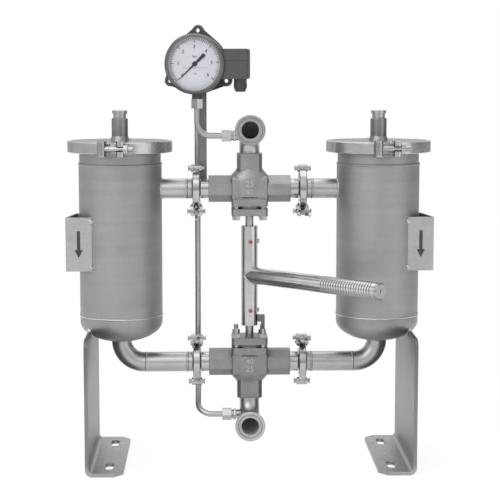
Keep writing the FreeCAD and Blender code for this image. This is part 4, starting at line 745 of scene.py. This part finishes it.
def text_mesh(text, size, depth):
    """Plain characters as vertices and faces in the XZ plane, centred, facing the viewer."""
    curve = bpy.data.curves.new("characters", "FONT")
    curve.body = text
    curve.size = size
    curve.align_x = "CENTER"
    curve.align_y = "CENTER"
    curve.extrude = depth / 2
    curve.offset = size * 0.018
    curve.resolution_u = 4
    holder = bpy.data.objects.new("characters", curve)
    bpy.context.scene.collection.objects.link(holder)
    bpy.context.view_layer.update()
    evaluated = holder.evaluated_get(bpy.context.evaluated_depsgraph_get())
    drawn = evaluated.to_mesh()
    verts = [Vector((v.co.x, -v.co.z, v.co.y)) for v in drawn.vertices]
    faces = [tuple(p.vertices) for p in drawn.polygons]
    evaluated.to_mesh_clear()
    bpy.data.objects.remove(holder)
    bpy.data.curves.remove(curve)
    return verts, faces


def dial_text(name, text, centre, size):
    """Characters printed on the dial."""
    verts, faces = text_mesh(text, size, 0.08)
    turn = Matrix.Rotation(GAUGE_TURN, 3, "Z")
    mesh_piece(name, [centre + turn @ v for v in verts], faces, "root", MATERIALS["ink_and_shade"], smooth=False)


def shoulders():
    """Rounded swell where the port neck of each casting runs out into its arms."""
    rings = 28
    sides = 72
    for level, height in VALVE_Z.items():
        way = PORT_WAY[level]
        verts = []
        for i in range(rings):
            rise = SHOULDER_LOW + (SHOULDER_HIGH - SHOULDER_LOW) * i / (rings - 1)
            climb = max(0.0, (rise - SHOULDER_START) / (SHOULDER_HIGH - SHOULDER_START))
            belly = max(0.0, (SHOULDER_START - rise) / (SHOULDER_START - SHOULDER_LOW))
            flare = (0.5 + 0.5 * math.cos(math.pi * min(1.0, climb))) * (1 - 0.12 * belly ** 2)
            wide = NECK_REACH + (SHOULDER_WIDE - NECK_REACH) * flare
            deep = NECK_REACH + (SHOULDER_DEEP - NECK_REACH) * flare
            for k in range(sides):
                angle = 2 * math.pi * k / sides
                c, d = math.cos(angle), math.sin(angle)
                verts.append((wide * math.copysign(abs(c) ** 0.8, c),
                              deep * math.copysign(abs(d) ** 0.8, d), height + way * rise))
        faces = strips(rings, sides) + caps(rings, sides)
        if way < 0:
            faces = [face[::-1] for face in faces]
        mesh_piece(level + "_shoulders", verts, faces, "root", MATERIALS["cast"])


def port_rings():
    """Turned rim and dark line on the front face of each port."""
    for level, height in VALVE_Z.items():
        centre = Vector((0, 0, height + PORT_WAY[level] * PORT_AXIS))
        for tag, look in (("rim", "bar"), ("line", "post")):
            turned_ring(level + "_port_" + tag, centre, PORT_STEP[tag], MATERIALS[look])


def turned_ring(name, centre, profile, material, sides=96):
    """Ring about a line to the front, from radii and distances ahead of the port's face."""
    verts = []
    for reach, ahead in profile:
        for k in range(sides):
            angle = 2 * math.pi * k / sides
            verts.append(centre + Vector((reach * math.cos(angle), PORT_FACE_Y - ahead,
                                          reach * math.sin(angle))))
    faces = []
    for i in range(len(profile)):
        after = (i + 1) % len(profile)
        for k in range(sides):
            faces.append((i * sides + k, i * sides + (k + 1) % sides,
                          after * sides + (k + 1) % sides, after * sides + k))
    mesh_piece(name, verts, faces, "root", material, smooth=False)


def cast_marks():
    """Raised size and pressure numbers on the front of each casting."""
    for level, height in VALVE_Z.items():
        for i, (text, size, rise) in enumerate(CAST_MARKS):
            verts, faces = text_mesh(text, size, 2.0)
            centre = Vector((0.0, -SHOULDER_DEEP, height + PORT_WAY[level] * rise))
            mesh_piece("%s_cast_mark_%d" % (level, i), [centre + v for v in verts], faces, "root",
                       MATERIALS["mark"], smooth=False)


def hexagon_bar(name, start, axis, flats, length, body, material):
    """Chamfered hexagon across its flats, along an axis."""
    turn = upright_onto(axis)
    reach = flats / 2 / math.cos(math.pi / 6)
    verts = []
    for height, scale in ((0, 0.93), (0.5, 1.0), (length - 0.5, 1.0), (length, 0.93)):
        for k in range(6):
            angle = math.pi / 3 * k + math.pi / 6
            verts.append(Vector(start) + turn @ Vector((reach * scale * math.cos(angle),
                                                        reach * scale * math.sin(angle), height)))
    mesh_piece(name, verts, caps(4, 6) + strips(4, 6), body, material, smooth=False)


def fitting_details():
    """Hexagon, thread and weld on the short fitting in the middle of each port's bend."""
    inset = PORT_BEND * (1 - math.sqrt(0.5))
    for level, height in VALVE_Z.items():
        z = height + PORT_WAY[level] * (PORT_AXIS - inset)
        hexagon_bar(level + "_fitting_hexagon", (HEXAGON_X, -inset, z), (-1, 0, 0), HEXAGON_FLATS,
                    HEXAGON_LENGTH, "root", MATERIALS["polished"])
        thread(level + "_fitting_thread", (HEXAGON_X - HEXAGON_LENGTH, -inset, z), (-1, 0, 0),
               FITTING_THREAD_LENGTH, FITTING_THREAD_RADIUS, "root", pitch=1.0, depth=0.3)
        ring = circle((FITTING_WELD_X, -inset, z), (1, 0, 0), FITTING_WELD_RADIUS, 48)
        bead(level + "_fitting_weld", ring, 1.1)


for side, way in SIDES.items():
    vessel_welds(side, way)
lever_weld()
closure_details()
stud_threads()
set_screw_marks()
flow_arrows()
dial_marks()
shoulders()
port_rings()
cast_marks()
fitting_details()


# Studio

def build_world():
    """White for the camera, and a shaded sky with two dark bands for what the steel mirrors."""
    world = bpy.data.worlds.new("studio")
    bpy.context.scene.world = world
    world.use_nodes = True
    world.node_tree.nodes.clear()
    g = Graph(world.node_tree)
    axes = g.node("ShaderNodeSeparateXYZ", Vector=g.node("ShaderNodeTexCoord").outputs["Generated"])
    strength = g.remap(axes.outputs["Z"], (-0.25, 0.55), (0.32, 1.15), smooth=True)
    for sign, level in WORLD_SIDES:
        side = g.remap(g.math("MULTIPLY", axes.outputs["X"], sign), (0.5, 0.98), (1.0, level), smooth=True)
        strength = g.math("MULTIPLY", strength, side)
    for place, width in WORLD_BANDS:
        near = g.math("ABSOLUTE", g.math("SUBTRACT", axes.outputs["X"], place))
        band = g.remap(near, (width / 2, width), (BAND_TONE, 1.0), smooth=True)
        strength = g.math("MULTIPLY", strength, band)
    light = g.node("ShaderNodeBackground", Color=(1.0, 1.0, 1.0, 1), Strength=strength).outputs[0]
    white = g.node("ShaderNodeBackground", Color=(1.0, 1.0, 1.0, 1), Strength=1.0).outputs[0]
    seen = g.node("ShaderNodeLightPath").outputs["Is Camera Ray"]
    g.surface(g.blend(seen, light, white), "ShaderNodeOutputWorld")


def build_floor():
    """Matt white floor that fades to pure white away from the part."""
    mesh = bpy.data.meshes.new("floor")
    mesh.from_pydata([(-6, -6, 0), (6, -6, 0), (6, 6, 0), (-6, 6, 0)], [], [(0, 1, 2, 3)])
    floor = bpy.data.objects.new("floor", mesh)
    bpy.context.scene.collection.objects.link(floor)
    material = new_material("floor_white")
    g = Graph(material.node_tree)
    matt = g.node("ShaderNodeAddShader")
    g.feed(matt, "0", g.node("ShaderNodeBsdfDiffuse", Color=(0.80, 0.80, 0.80, 1)).outputs[0])
    g.feed(matt, "1", g.node("ShaderNodeEmission", Color=(1, 1, 1, 1), Strength=0.22).outputs[0])
    glow = g.node("ShaderNodeEmission", Color=(1, 1, 1, 1), Strength=1.0).outputs[0]
    reach = g.vector("LENGTH", g.node("ShaderNodeTexCoord").outputs["Object"])
    clear = g.remap(reach, (0.35, 0.9), (0.82, 1.0))
    seen = g.node("ShaderNodeLightPath").outputs["Is Camera Ray"]
    g.surface(g.blend(g.math("MULTIPLY", seen, clear), matt.outputs[0], glow))
    mesh.materials.append(material)


def soft_light(name, place, target, width, height, power):
    """Rectangular lamp that looks at a target."""
    lamp = bpy.data.lights.new(name, "AREA")
    lamp.shape = "RECTANGLE"
    lamp.size = width
    lamp.size_y = height
    lamp.energy = power
    holder = bpy.data.objects.new(name, lamp)
    holder.location = place
    aim = (Vector(target) - Vector(place)).to_track_quat("-Z", "Y")
    holder.rotation_euler = aim.to_euler()
    bpy.context.scene.collection.objects.link(holder)


def build_camera():
    """Camera at the photograph's view."""
    away = Vector((math.sin(CAMERA_TURN) * math.cos(CAMERA_TILT),
                   -math.cos(CAMERA_TURN) * math.cos(CAMERA_TILT), math.sin(CAMERA_TILT)))
    lens = bpy.data.cameras.new("photo_view")
    lens.lens = CAMERA_LENS
    lens.sensor_width = CAMERA_SENSOR
    lens.clip_end = 50.0
    camera = bpy.data.objects.new("photo_view", lens)
    camera.location = CAMERA_TARGET + away * CAMERA_DISTANCE
    camera.rotation_euler = (-away).to_track_quat("-Z", "Y").to_euler()
    bpy.context.scene.collection.objects.link(camera)
    bpy.context.scene.camera = camera


build_world()
build_floor()
for lamp in LAMPS:
    soft_light(*lamp)
build_camera()
bpy.context.scene.view_settings.view_transform = "Standard"
